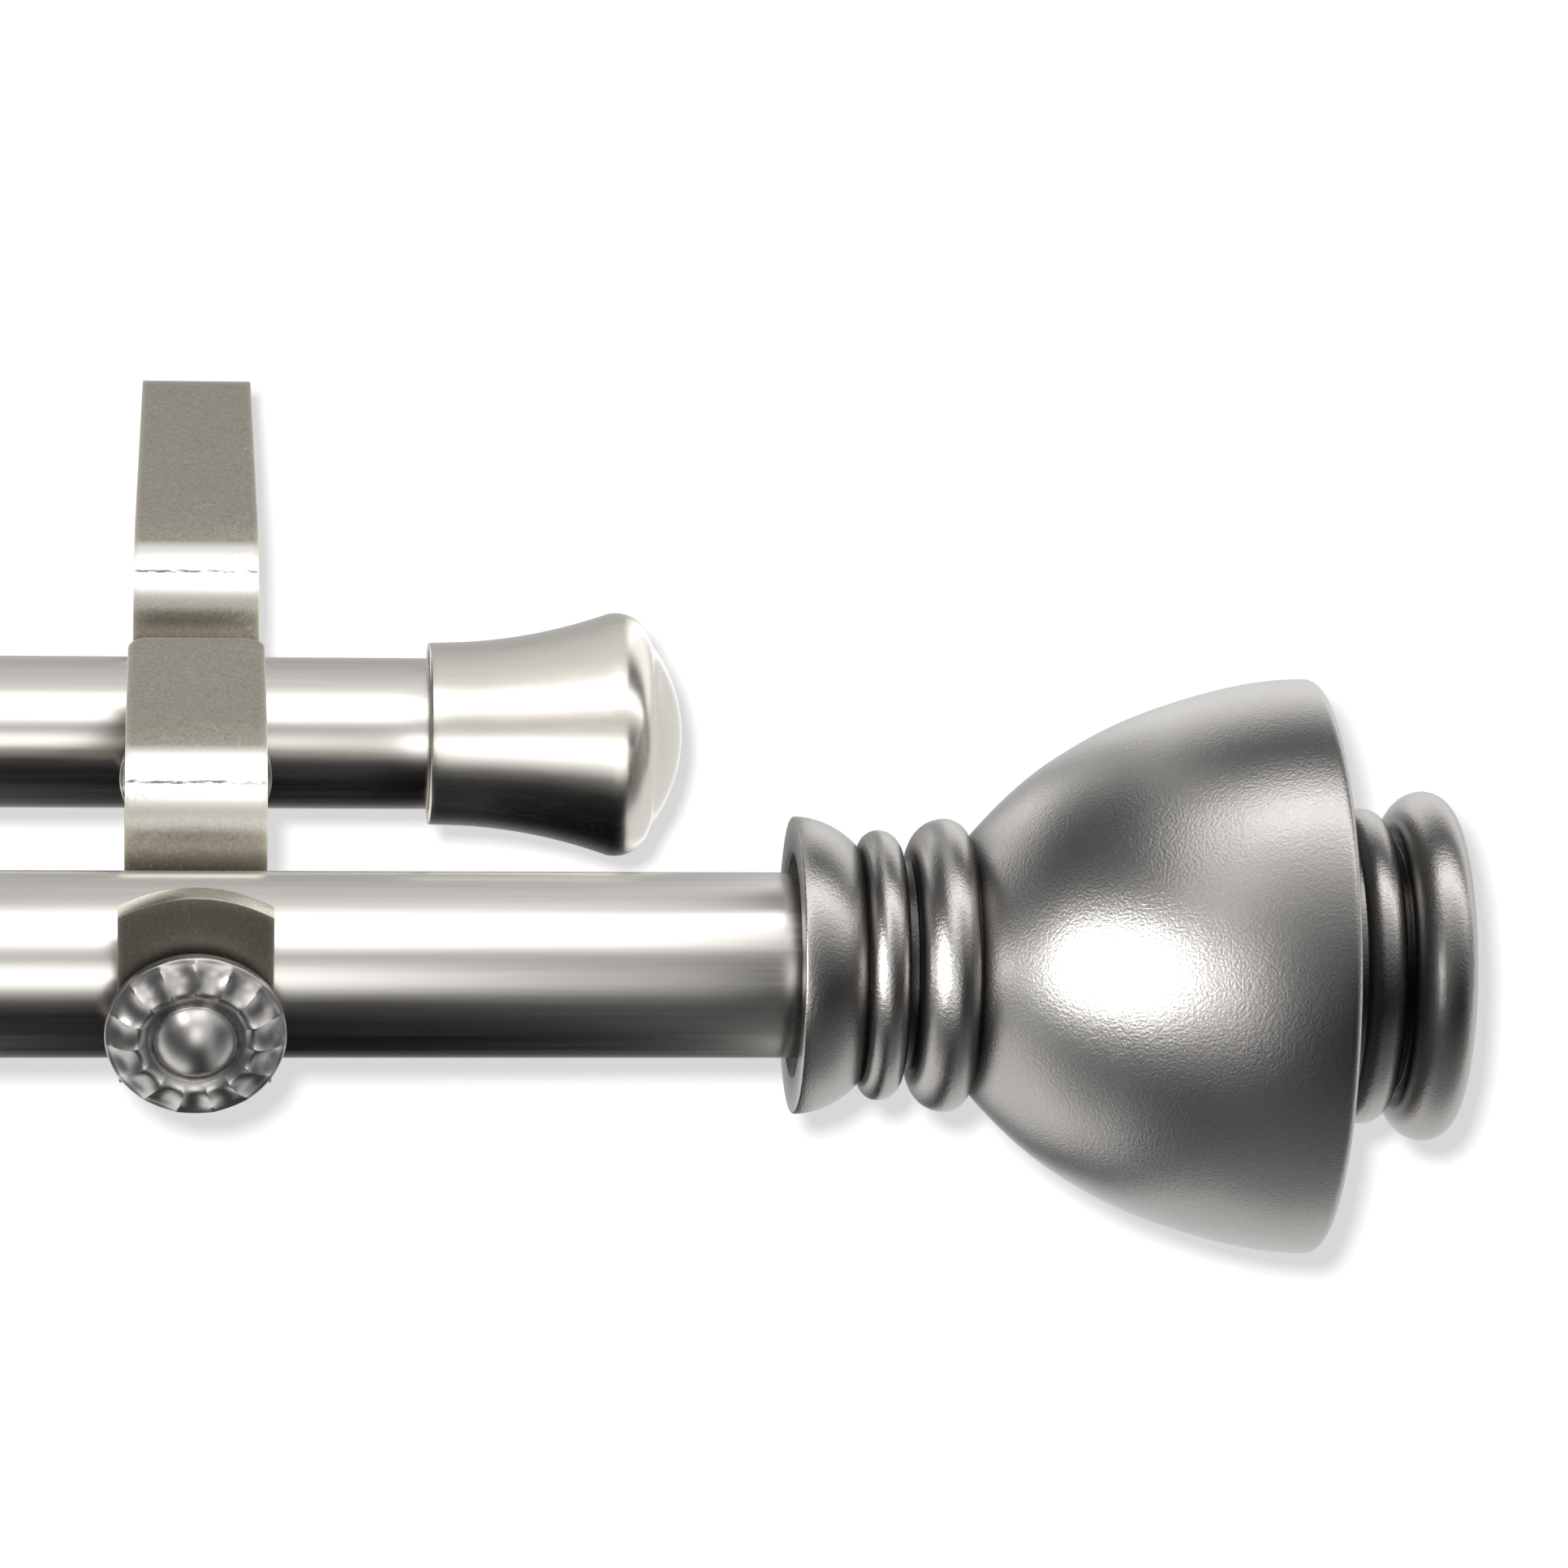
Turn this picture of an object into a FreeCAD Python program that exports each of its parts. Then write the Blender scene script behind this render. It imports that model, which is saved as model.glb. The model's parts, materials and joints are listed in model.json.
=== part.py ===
import FreeCAD, Part
import math
import os

# Double curtain pole: two telescoping poles side by side on a pair of wall brackets.
# +X runs to the right along the poles, +Y into the wall, +Z up. The origin is the centre of the
# right-hand bracket's wall holes, on the wall. All sizes are in millimetres.

# Poles
FRONT_POLE_D = 22.0
BACK_POLE_D = 19.0
TUBE_WALL = 0.8
TELESCOPE_GAP = 0.7
FRONT_RIGHT_END = 82.0
BACK_RIGHT_END = 49.0
BRACKET_SPACING = 547.0
FRONT_TUBE_PAST_BRACKET = 28.0
BACK_TUBE_PAST_BRACKET = 19.0
TAIL_INSET = 40.0
SWAGE_LENGTH = 4.0
RUNNING_GAP = 0.1
TAIL_RING_LENGTH = 12.0
TAIL_SPIGOT_LENGTH = 8.0
PLASTIC_WALL = 1.5

# Brackets
WALL_TO_BACK_POLE = 70.0
POLE_SPACING = 57.0
POLE_HEIGHT = 34.0
STRIP_THICKNESS = 2.6
FLAT_RISE = 18.9
WALL_BEND_RADIUS = 9.2
REAR_BEND_RADIUS = 12.0
FRONT_BEND_RADIUS = 13.5
TIGHT_BEND_RADIUS = 4.0
CRADLE_GAP = 0.3
FRONT_CRADLE_SLACK = 0.8
FRONT_ARM_SETBACK = 0.8
REAR_ARM_WIDTH = 15.8
REAR_ARM_TAPER = 1.8
FRONT_ARM_WIDTH = 16.9
FRONT_ARM_TAPER = 0.3
FRONT_LIP_FLARE = 1.0
LIP_RISE = 16.9
LIP_CROWN = 2.6
STRIP_CORNER_RADIUS = 2.5
TAB_LENGTH = 15.0
WALL_HOLE_D = 5.0
WALL_HOLE_SPACING = 30.0
WALL_HOLE_BEVEL = 1.2

# Thumb screws
SCREW_D = 5.0
SCREW_RUNNING_GAP = 0.08
SCREW_TIP_GAP = 0.3
SCREW_TIP_CHAMFER = 0.6
BACK_SCREW_RISE = 1.5
KNOB_FLUTES = 15
KNOB_STANDOFF = 1.2
KNOB_RIM_THICKNESS = 1.5
KNOB_EDGE = 0.4
KNOB_CROWN_RISE = 1.7
KNOB_CROWN_SWELL = 0.57
KNOB_CUP_DEPTH = 0.9
KNOB_CUP_SWELL = 0.32
KNOB_DOME_D = 9.5
KNOB_DOME_RISE = 2.7
KNOB_DOME_SIDE = 0.85
KNOB_MOAT_WIDTH = 0.6
KNOB_CUP_WIDTH = 1.6
FRONT_FLUTE_BAND = 3.5
BACK_FLUTE_BAND = 2.4
FLUTE_RADIUS = 2.6
FLUTE_INSET = 0.5
FLUTE_START = 0.4
KNOB_SCREW_GAP = 0.05
SCREW_HEAD_CLEARANCE = 0.3

# Finials. Lengths run along the pole from the socket's mouth, each from the end of the one before.
# Rises are measured outwards from the slimmest neck.
SOCKET_GAP = 0.3
SOCKET_DEPTH = 11.8
SOCKET_FLARE_LENGTH = 6.0
SOCKET_FLARE = 2.0
MOUTH_WALL = 4.3
NECK_WALL = 1.05
COLLAR_LENGTH = 8.0
COLLAR_END_RISE = 1.3
SMALL_BEAD_UP = 2.2
SMALL_BEAD_DOWN = 2.4
SMALL_BEAD_RISE = 3.65
NECK_LENGTH = 1.4
LARGE_BEAD_UP = 4.1
LARGE_BEAD_DOWN = 2.8
LARGE_BEAD_RISE = 5.05
WAIST_RISE = 2.65
BELL_LENGTH = 40.1
BELL_RISE = 21.85
BELL_START_SLOPE = 1.15
BELL_SHAPE = ((0.170, 0.355), (0.359, 0.620), (0.646, 0.870))
RIM_LENGTH = 1.3
BELL_DISH_DEPTH = 2.2
STEM_RISE = 2.85
STEP_GAP = 1.5
STEP_LENGTH = 2.2
STEP_RISE = 5.05
OUTER_BEAD_UP = 2.1
OUTER_BEAD_DOWN = 2.5
OUTER_BEAD_RISE = 6.45
OUTER_NECK_LENGTH = 1.6
OUTER_NECK_RISE = 2.45
BUTTON_UP = 3.4
BUTTON_DOWN = 3.2
BUTTON_RISE = 8.5
BUTTON_SHOULDER_RISE = 5.05
BUTTON_DOME = 1.5
INSERT_WALL = 1.75
INSERT_LENGTH = 14.0
FINIAL_STUD_D = 6.0
STUD_PLUG_DEPTH = 12.0
STUD_TIP_ROOM = 2.0
PLUG_LENGTH = 15.0
PLUG_FLANGE = 1.5
THREAD_GAP = 0.02
PLUG_GAP = 0.1

# End caps. Lengths run along the pole from the cap's mouth, each from the end of the one before.
CAP_WALL = 1.0
CAP_MOUTH_GAP = 0.9
CAP_BELL_LENGTH = 22.6
CAP_BELL_RISE = 3.8
CAP_BELL_SHAPE = ((0.292, 0.079), (0.575, 0.316), (0.863, 0.737))
CAP_EDGE_LENGTH = 1.0
CAP_EDGE_RISE = 0.1
CAP_SHOULDER_LENGTH = 4.4
CAP_SHOULDER_DROP = 3.6
CAP_DOME = 4.0
LINER_RECESS = 1.2
CAP_POLE_INSERTION = 20.0
LINER_GAP = 0.1

# How far a cut overruns what it cuts
OVERRUN = 1.0

os.makedirs("parts", exist_ok=True)

X = FreeCAD.Vector(1, 0, 0)
Y = FreeCAD.Vector(0, 1, 0)
Z = FreeCAD.Vector(0, 0, 1)
FRONT_Y = -WALL_TO_BACK_POLE - POLE_SPACING
BACK_Y = -WALL_TO_BACK_POLE
FLAT_TOP = POLE_HEIGHT + FLAT_RISE
MIRROR_X = -BRACKET_SPACING / 2
SOCKET_R = FRONT_POLE_D / 2 + SOCKET_GAP
NECK_R = SOCKET_R + NECK_WALL
INSERT_R = FINIAL_STUD_D / 2 + INSERT_WALL
INSERT_START = SOCKET_DEPTH + PLUG_FLANGE
REAR_ARM_WALL_WIDTH = REAR_ARM_WIDTH - REAR_ARM_TAPER
FRONT_ARM_END_WIDTH = FRONT_ARM_WIDTH - FRONT_ARM_TAPER
FRONT_LIP_WIDTH = FRONT_ARM_WIDTH + FRONT_LIP_FLARE
DOME_R = KNOB_DOME_D / 2
MOAT_R = DOME_R + KNOB_MOAT_WIDTH
CROWN_R = MOAT_R + KNOB_CUP_WIDTH


def point(x, y, z):
    return FreeCAD.Vector(x, y, z)


def line(a, b):
    return Part.LineSegment(a, b).toShape()


def arc(a, middle, b):
    return Part.Arc(a, middle, b).toShape()


def polygon(points):
    return Part.Face(Part.makePolygon(list(points) + [points[0]]))


def cylinder(radius, length, start, direction):
    return Part.makeCylinder(radius, length, start, direction)


def ring(outer_r, inner_r, length, start, direction):
    return cylinder(outer_r, length, start, direction).cut(cylinder(inner_r, length, start, direction))


def turned(edges, axis_point, axis):
    # A solid of revolution from a closed run of profile edges.
    face = Part.Face(Part.Wire(Part.__sortEdges__(edges)))
    return face.revolve(axis_point, axis, 360)


def mirrored(shape):
    # The left-hand copy, across the plane midway between the brackets.
    return shape.mirror(point(MIRROR_X, 0, 0), X)


def save(name, shape):
    shape.exportStep("parts/" + name + ".step")


# Profiles turned about a pole's axis are drawn in the XY plane with the radius along Y.


def peak_arc(peak_x, peak_r, end_x, end_r):
    # An arc that is level at its peak and ends at the given point.
    run = end_x - peak_x
    drop = peak_r - end_r
    radius = (run * run + drop * drop) / (2 * drop)
    half = math.atan2(run, radius - drop) / 2
    middle = point(peak_x + radius * math.sin(half), peak_r - radius * (1 - math.cos(half)), 0)
    return arc(point(peak_x, peak_r, 0), middle, point(end_x, end_r, 0))


def bead(start_x, start_r, peak_x, peak_r, end_x, end_r):
    return [peak_arc(peak_x, peak_r, start_x, start_r), peak_arc(peak_x, peak_r, end_x, end_r)]


def spline(points, end_tangents=None):
    curve = Part.BSplineCurve()
    vectors = [point(x, r, 0) for x, r in points]
    if end_tangents:
        first, last = end_tangents
        curve.interpolate(Points=vectors, InitialTangent=first, FinalTangent=last)
    else:
        curve.interpolate(vectors)
    return curve.toShape()


def between(first, last, shape):
    # Points from the first to the last, through the given fractions of the length and of the rise.
    run = last[0] - first[0]
    rise = last[1] - first[1]
    return [first] + [(first[0] + run * along, first[1] + rise * up) for along, up in shape] + [last]


def chain(points):
    return [line(point(*a, 0), point(*b, 0)) for a, b in zip(points, points[1:])]


# Poles


def inner_diameter(outer_d):
    return outer_d - 2 * TUBE_WALL - 2 * TELESCOPE_GAP


def outer_tube(outer_d, inner_d, left_end, right_end, axis_y):
    # The left end is rolled inwards to guide the thinner tube.
    outer_r = outer_d / 2
    bore_r = outer_r - TUBE_WALL
    guide_r = inner_d / 2 + RUNNING_GAP
    edge = min(TUBE_WALL, outer_r - guide_r)
    lip_r = guide_r + edge
    roll_end = left_end + SWAGE_LENGTH
    outline = [(left_end, guide_r), (left_end, lip_r), (left_end + SWAGE_LENGTH / 2, outer_r),
               (right_end, outer_r), (right_end, bore_r), (roll_end, bore_r),
               (left_end + SWAGE_LENGTH / 2, guide_r), (left_end, guide_r)]
    tube = turned(chain(outline), point(0, 0, 0), X)
    tube.translate(point(0, axis_y, POLE_HEIGHT))
    return tube


def inner_tube(outer_d, left_end, right_end, axis_y):
    return ring(outer_d / 2, outer_d / 2 - TUBE_WALL, right_end - left_end,
                point(left_end, axis_y, POLE_HEIGHT), X)


def tail_ring(outer_d, inner_d, tail_x, axis_y):
    # A plastic collar plugged into the inner tube's hidden end, which runs in the outer tube.
    spigot_r = inner_d / 2 - TUBE_WALL - PLUG_GAP
    collar_r = outer_d / 2 - TUBE_WALL - RUNNING_GAP
    bore_r = spigot_r - PLASTIC_WALL
    start = point(tail_x - TAIL_SPIGOT_LENGTH, axis_y, POLE_HEIGHT)
    body = cylinder(spigot_r, TAIL_SPIGOT_LENGTH + TAIL_RING_LENGTH, start, X)
    body = body.fuse(cylinder(collar_r, TAIL_RING_LENGTH, point(tail_x, axis_y, POLE_HEIGHT), X))
    bore = cylinder(bore_r, TAIL_SPIGOT_LENGTH + TAIL_RING_LENGTH, start, X)
    return body.cut(bore).removeSplitter()


# Finial, drawn with its socket's mouth at x = 0 and its axis on X


def finial_outline():
    mouth_r = SOCKET_R + SOCKET_FLARE + MOUTH_WALL
    collar_end_r = NECK_R + COLLAR_END_RISE
    small_peak = COLLAR_LENGTH + SMALL_BEAD_UP
    neck_start = small_peak + SMALL_BEAD_DOWN
    neck_end = neck_start + NECK_LENGTH
    large_peak = neck_end + LARGE_BEAD_UP
    waist = large_peak + LARGE_BEAD_DOWN
    edges = [peak_arc(0.0, mouth_r, COLLAR_LENGTH, collar_end_r)]
    edges += bead(COLLAR_LENGTH, collar_end_r, small_peak, NECK_R + SMALL_BEAD_RISE, neck_start, NECK_R)
    edges += chain([(neck_start, NECK_R), (neck_end, NECK_R)])
    edges += bead(neck_end, NECK_R, large_peak, NECK_R + LARGE_BEAD_RISE, waist, NECK_R + WAIST_RISE)
    rim = waist + BELL_LENGTH
    bell = between((waist, NECK_R + WAIST_RISE), (rim, NECK_R + BELL_RISE), BELL_SHAPE)
    return edges + [spline(bell, (point(1, BELL_START_SLOPE, 0), X))] + finial_face(rim)


def finial_face(rim):
    # Everything beyond the bell's rim: its dished face, a step, a bead, a neck and a button.
    face = rim + RIM_LENGTH
    face_r = NECK_R + BELL_RISE - RIM_LENGTH
    dish = face - BELL_DISH_DEPTH
    dish_r = face_r - BELL_DISH_DEPTH
    stem_r = NECK_R + STEM_RISE
    step = face + STEP_GAP
    step_end = step + STEP_LENGTH
    step_r = NECK_R + STEP_RISE
    bead_peak = step_end + OUTER_BEAD_UP
    neck_start = bead_peak + OUTER_BEAD_DOWN
    neck_end = neck_start + OUTER_NECK_LENGTH
    neck_r = NECK_R + OUTER_NECK_RISE
    button = neck_end + BUTTON_UP
    shoulder = button + BUTTON_DOWN
    shoulder_r = NECK_R + BUTTON_SHOULDER_RISE
    edges = [peak_arc(rim, NECK_R + BELL_RISE, face, face_r)]
    edges += chain([(face, face_r), (face, dish_r)])
    edges += [arc(point(face, dish_r, 0), point(dish, (dish_r + stem_r) / 2 + BELL_DISH_DEPTH, 0),
                  point(dish, stem_r, 0))]
    edges += chain([(dish, stem_r), (step, stem_r), (step, step_r), (step_end, step_r)])
    edges += bead(step_end, step_r, bead_peak, NECK_R + OUTER_BEAD_RISE, neck_start, neck_r)
    edges += chain([(neck_start, neck_r), (neck_end, neck_r)])
    edges += bead(neck_end, neck_r, button, NECK_R + BUTTON_RISE, shoulder, shoulder_r)
    end = shoulder + BUTTON_DOME
    return edges + [peak_arc_end(shoulder, shoulder_r, end)] + socket_outline(end)


def peak_arc_end(start_x, start_r, end_x):
    # A shallow domed end, square to the axis at its tip.
    rise = end_x - start_x
    radius = (start_r * start_r + rise * rise) / (2 * rise)
    half = math.asin(start_r / radius) / 2
    middle = point(end_x - radius * (1 - math.cos(half)), radius * math.sin(half), 0)
    return arc(point(start_x, start_r, 0), middle, point(end_x, 0, 0))


def socket_outline(end):
    # The socket: a flared mouth, then a bore that holds the pole, then the brass insert's seat.
    insert_end = INSERT_START + INSERT_LENGTH
    stud_end = insert_end + STUD_TIP_ROOM
    stud_r = FINIAL_STUD_D / 2 + THREAD_GAP
    flare_r = SOCKET_R + SOCKET_FLARE
    return chain([(end, 0), (stud_end, 0), (stud_end, stud_r), (insert_end, stud_r),
                  (insert_end, INSERT_R), (INSERT_START, INSERT_R), (INSERT_START, SOCKET_R),
                  (SOCKET_FLARE_LENGTH, SOCKET_R), (0, flare_r), (0, flare_r + MOUTH_WALL)])


def finial():
    return turned(finial_outline(), point(0, 0, 0), X)


def finial_insert():
    return ring(INSERT_R, FINIAL_STUD_D / 2 + THREAD_GAP, INSERT_LENGTH, point(INSERT_START, 0, 0), X)


def finial_stud():
    start = SOCKET_DEPTH - STUD_PLUG_DEPTH
    return cylinder(FINIAL_STUD_D / 2, INSERT_START + INSERT_LENGTH - start, point(start, 0, 0), X)


def end_plug(tube_d):
    # A plastic plug in the tube's end, with a flange that fills the finial's socket.
    start = point(SOCKET_DEPTH - PLUG_LENGTH, 0, 0)
    spigot = cylinder(tube_d / 2 - TUBE_WALL - PLUG_GAP, PLUG_LENGTH, start, X)
    flange = cylinder(FRONT_POLE_D / 2, PLUG_FLANGE, point(SOCKET_DEPTH, 0, 0), X)
    bore = cylinder(FINIAL_STUD_D / 2 + THREAD_GAP, PLUG_LENGTH + PLUG_FLANGE, start, X)
    return spigot.fuse(flange).cut(bore).removeSplitter()


# End cap, drawn with its mouth at x = 0 and its axis on X


def cap_outline(inset):
    # A flared bell, a rounded edge and a domed end, all set in by the same distance.
    mouth_r = BACK_POLE_D / 2 + CAP_MOUTH_GAP + CAP_WALL - inset
    bell_r = mouth_r + CAP_BELL_RISE
    edge = (CAP_BELL_LENGTH + CAP_EDGE_LENGTH, bell_r + CAP_EDGE_RISE)
    shoulder = (edge[0] + CAP_SHOULDER_LENGTH - inset, edge[1] - CAP_SHOULDER_DROP)
    end = edge[0] + CAP_SHOULDER_LENGTH + CAP_DOME - inset
    bell = between((0, mouth_r), (CAP_BELL_LENGTH, bell_r), CAP_BELL_SHAPE)
    edges = [spline(bell), peak_arc(*edge, *bell[-1]), peak_arc(*edge, *shoulder)]
    return edges + [peak_arc_end(*shoulder, end)] + chain([(end, 0), (0, 0), (0, mouth_r)])


def end_cap():
    # A thin spun shell.
    skin = turned(cap_outline(0), point(0, 0, 0), X)
    return skin.cut(turned(cap_outline(CAP_WALL), point(0, 0, 0), X))


def cap_liner(tube_d):
    # A plastic sleeve that fills the cap round the pole and has a stop for the pole's end.
    bore_r = tube_d / 2 + LINER_GAP
    end = CAP_POLE_INSERTION + PLASTIC_WALL
    hollow = turned(cap_outline(CAP_WALL + LINER_GAP), point(0, 0, 0), X)
    sleeve = hollow.common(cylinder(BACK_POLE_D, end - LINER_RECESS, point(LINER_RECESS, 0, 0), X))
    bore = cylinder(bore_r, CAP_POLE_INSERTION, point(0, 0, 0), X)
    return sleeve.cut(bore).cut(cylinder(bore_r - 2 * PLASTIC_WALL, end, point(0, 0, 0), X))


# Bracket strips, drawn as side profiles in the YZ plane and bent about X


def strip_side(points, radii, side):
    # One face of the strip, offset from its centre line: straight runs joined by tangent arcs.
    corners = [point(0, y, z) for y, z in points]
    runs = [(b - a).normalize() for a, b in zip(corners, corners[1:])]
    edges = []
    start = corners[0] + runs[0].cross(X) * side
    for corner, into, out, radius in zip(corners[1:], runs, runs[1:], radii):
        turn = into.getAngle(out)
        reach = radius * math.tan(turn / 2)
        bisector = (out - into).normalize()
        centre = corner + bisector * (radius / math.cos(turn / 2))
        inward = 1 if bisector.dot(into.cross(X)) > 0 else -1
        scale = (radius - side * inward) / radius
        arc_start, middle, arc_end = [centre + (p - centre) * scale for p in
                                      (corner - into * reach, centre - bisector * radius, corner + out * reach)]
        if (arc_start - start).Length > 1e-6:
            edges.append(line(start, arc_start))
        edges.append(arc(arc_start, middle, arc_end))
        start = arc_end
    last = corners[-1] + runs[-1].cross(X) * side
    return edges + [line(start, last)]


def bent_strip(points, radii, width):
    # The centre line given the strip's thickness and the greatest width.
    half = STRIP_THICKNESS / 2
    sides = [strip_side(points, radii, side) for side in (half, -half)]
    ends = [line(sides[0][0].Vertexes[0].Point, sides[1][0].Vertexes[0].Point),
            line(sides[0][-1].Vertexes[-1].Point, sides[1][-1].Vertexes[-1].Point)]
    section = Part.Face(Part.Wire(Part.__sortEdges__(sides[0] + sides[1] + ends)))
    section.translate(point(-width / 2, 0, 0))
    return section.extrude(point(width, 0, 0))


def plan_mask(stations, low_z, high_z):
    # A prism that gives a strip its width at each station (y, width) along the arm.
    right = [point(width / 2, y, low_z) for y, width in stations]
    left = [point(-width / 2, y, low_z) for y, width in reversed(stations)]
    return polygon(right + left).extrude(Z * (high_z - low_z))


def rear_arm():
    # Wall flange, arm, cradle for the back pole, and a tab that the front arm is welded to.
    half = STRIP_THICKNESS / 2
    cradle_r = BACK_POLE_D / 2 + CRADLE_GAP + half
    flat_z = FLAT_TOP - half
    tab_z = flat_z - STRIP_THICKNESS
    foot_z = -WALL_HOLE_SPACING / 2 - REAR_ARM_WALL_WIDTH / 2
    wall_y = -half
    rear_y = BACK_Y + cradle_r
    lip_y = BACK_Y - cradle_r
    bottom_z = POLE_HEIGHT - cradle_r
    points = [(wall_y, foot_z), (wall_y, flat_z), (rear_y, flat_z), (rear_y, bottom_z),
              (lip_y, bottom_z), (lip_y, tab_z), (lip_y - TAB_LENGTH, tab_z)]
    radii = [WALL_BEND_RADIUS - half, REAR_BEND_RADIUS - half, cradle_r, cradle_r, TIGHT_BEND_RADIUS - half]
    strip = bent_strip(points, radii, REAR_ARM_WIDTH)
    stations = [(OVERRUN, REAR_ARM_WALL_WIDTH), (0, REAR_ARM_WALL_WIDTH), (rear_y, REAR_ARM_WIDTH),
                (lip_y - TAB_LENGTH - OVERRUN, REAR_ARM_WIDTH)]
    strip = strip.common(plan_mask(stations, foot_z - OVERRUN, FLAT_TOP + OVERRUN))
    strip = strip.cut(flange_foot_trim(foot_z))
    for hole_z in (-WALL_HOLE_SPACING / 2, WALL_HOLE_SPACING / 2):
        strip = strip.cut(wall_hole(hole_z))
    return strip.cut(screw_hole(BACK_Y, BACK_SCREW_RISE, lip_y))


def flange_foot_trim(foot_z):
    # What lies outside the flange's half-round foot.
    radius = REAR_ARM_WALL_WIDTH / 2
    front = -STRIP_THICKNESS - OVERRUN
    depth = STRIP_THICKNESS + 2 * OVERRUN
    block = Part.makeBox(2 * REAR_ARM_WIDTH, depth, radius + OVERRUN,
                         point(-REAR_ARM_WIDTH, front, foot_z - OVERRUN))
    return block.cut(cylinder(radius, depth, point(0, front, foot_z + radius), Y))


def wall_hole(hole_z):
    # A screw hole through the wall flange, bevelled on the room side.
    r = WALL_HOLE_D / 2
    front = -STRIP_THICKNESS
    hole = cylinder(r, STRIP_THICKNESS + 2 * OVERRUN, point(0, front - OVERRUN, hole_z), Y)
    bevel = Part.makeCone(r + WALL_HOLE_BEVEL, r, WALL_HOLE_BEVEL, point(0, front, hole_z), Y)
    return hole.fuse(bevel)


def screw_hole(pole_y, rise, lip_y):
    r = SCREW_D / 2 + SCREW_RUNNING_GAP
    return cylinder(r, 2 * STRIP_THICKNESS, point(0, lip_y - STRIP_THICKNESS, POLE_HEIGHT + rise), Y)


def front_arm():
    # Flat over the back cradle's lip, cradle for the front pole, and a lip with an arched top.
    half = STRIP_THICKNESS / 2
    cradle_r = FRONT_POLE_D / 2 + CRADLE_GAP + half
    flat_z = FLAT_TOP - half
    start_y = BACK_Y - BACK_POLE_D / 2 - CRADLE_GAP - FRONT_ARM_SETBACK
    rear_y = FRONT_Y + cradle_r + FRONT_CRADLE_SLACK
    lip_y = FRONT_Y - cradle_r
    bottom_z = POLE_HEIGHT - cradle_r
    top_z = POLE_HEIGHT + LIP_RISE
    points = [(start_y, flat_z), (rear_y, flat_z), (rear_y, bottom_z), (lip_y, bottom_z), (lip_y, top_z)]
    radii = [FRONT_BEND_RADIUS - half, cradle_r, cradle_r]
    strip = bent_strip(points, radii, FRONT_LIP_WIDTH)
    strip = strip.common(plan_mask([(start_y, FRONT_ARM_END_WIDTH), (rear_y, FRONT_ARM_WIDTH),
                                    (lip_y + half, FRONT_LIP_WIDTH), (lip_y - half - OVERRUN, FRONT_LIP_WIDTH)],
                                   bottom_z - half - OVERRUN, FLAT_TOP + OVERRUN))
    strip = strip.cut(lip_trim(lip_y, top_z))
    for side in (1, -1):
        strip = strip.cut(corner_trim(side, start_y))
    return strip.cut(screw_hole(FRONT_Y, 0.0, lip_y))


def corner_trim(side, start_y):
    # What lies outside one rounded corner of the flat's free end.
    r = STRIP_CORNER_RADIUS
    x = side * FRONT_ARM_END_WIDTH / 2
    low = FLAT_TOP - STRIP_THICKNESS - OVERRUN
    depth = STRIP_THICKNESS + 2 * OVERRUN
    block = polygon([point(x - side * r, start_y - r, low), point(x + side * OVERRUN, start_y - r, low),
                     point(x + side * OVERRUN, start_y + OVERRUN, low), point(x - side * r, start_y + OVERRUN, low)])
    return block.extrude(Z * depth).cut(cylinder(r, depth, point(x - side * r, start_y - r, low), Z))


def lip_trim(lip_y, top_z):
    # What lies above the lip's arched top edge.
    side = FRONT_LIP_WIDTH / 2
    front = lip_y - STRIP_THICKNESS
    low = top_z - LIP_CROWN
    high = top_z + OVERRUN
    wide = side + OVERRUN
    ends = [point(side, front, low), point(wide, front, low), point(wide, front, high),
            point(-wide, front, high), point(-wide, front, low), point(-side, front, low)]
    edges = [line(a, b) for a, b in zip(ends, ends[1:])]
    edges.append(arc(ends[-1], point(0, front, top_z), ends[0]))
    return Part.Face(Part.Wire(Part.__sortEdges__(edges))).extrude(Y * (2 * STRIP_THICKNESS))


# Thumb screw, drawn with its axis on -Y and the lip's front face at y = 0


def thumb_screw(tip_recess):
    # Threaded stud from the knob, through the lip, to just short of the pole.
    tip_y = STRIP_THICKNESS + CRADLE_GAP - SCREW_TIP_GAP + tip_recess
    head_y = -KNOB_STANDOFF - KNOB_RIM_THICKNESS
    r = SCREW_D / 2
    c = SCREW_TIP_CHAMFER
    shank = cylinder(r, tip_y - c - head_y, point(0, head_y, 0), Y)
    tip = Part.makeCone(r, r - c, c, point(0, tip_y - c, 0), Y)
    return shank.fuse(tip).removeSplitter()


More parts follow.
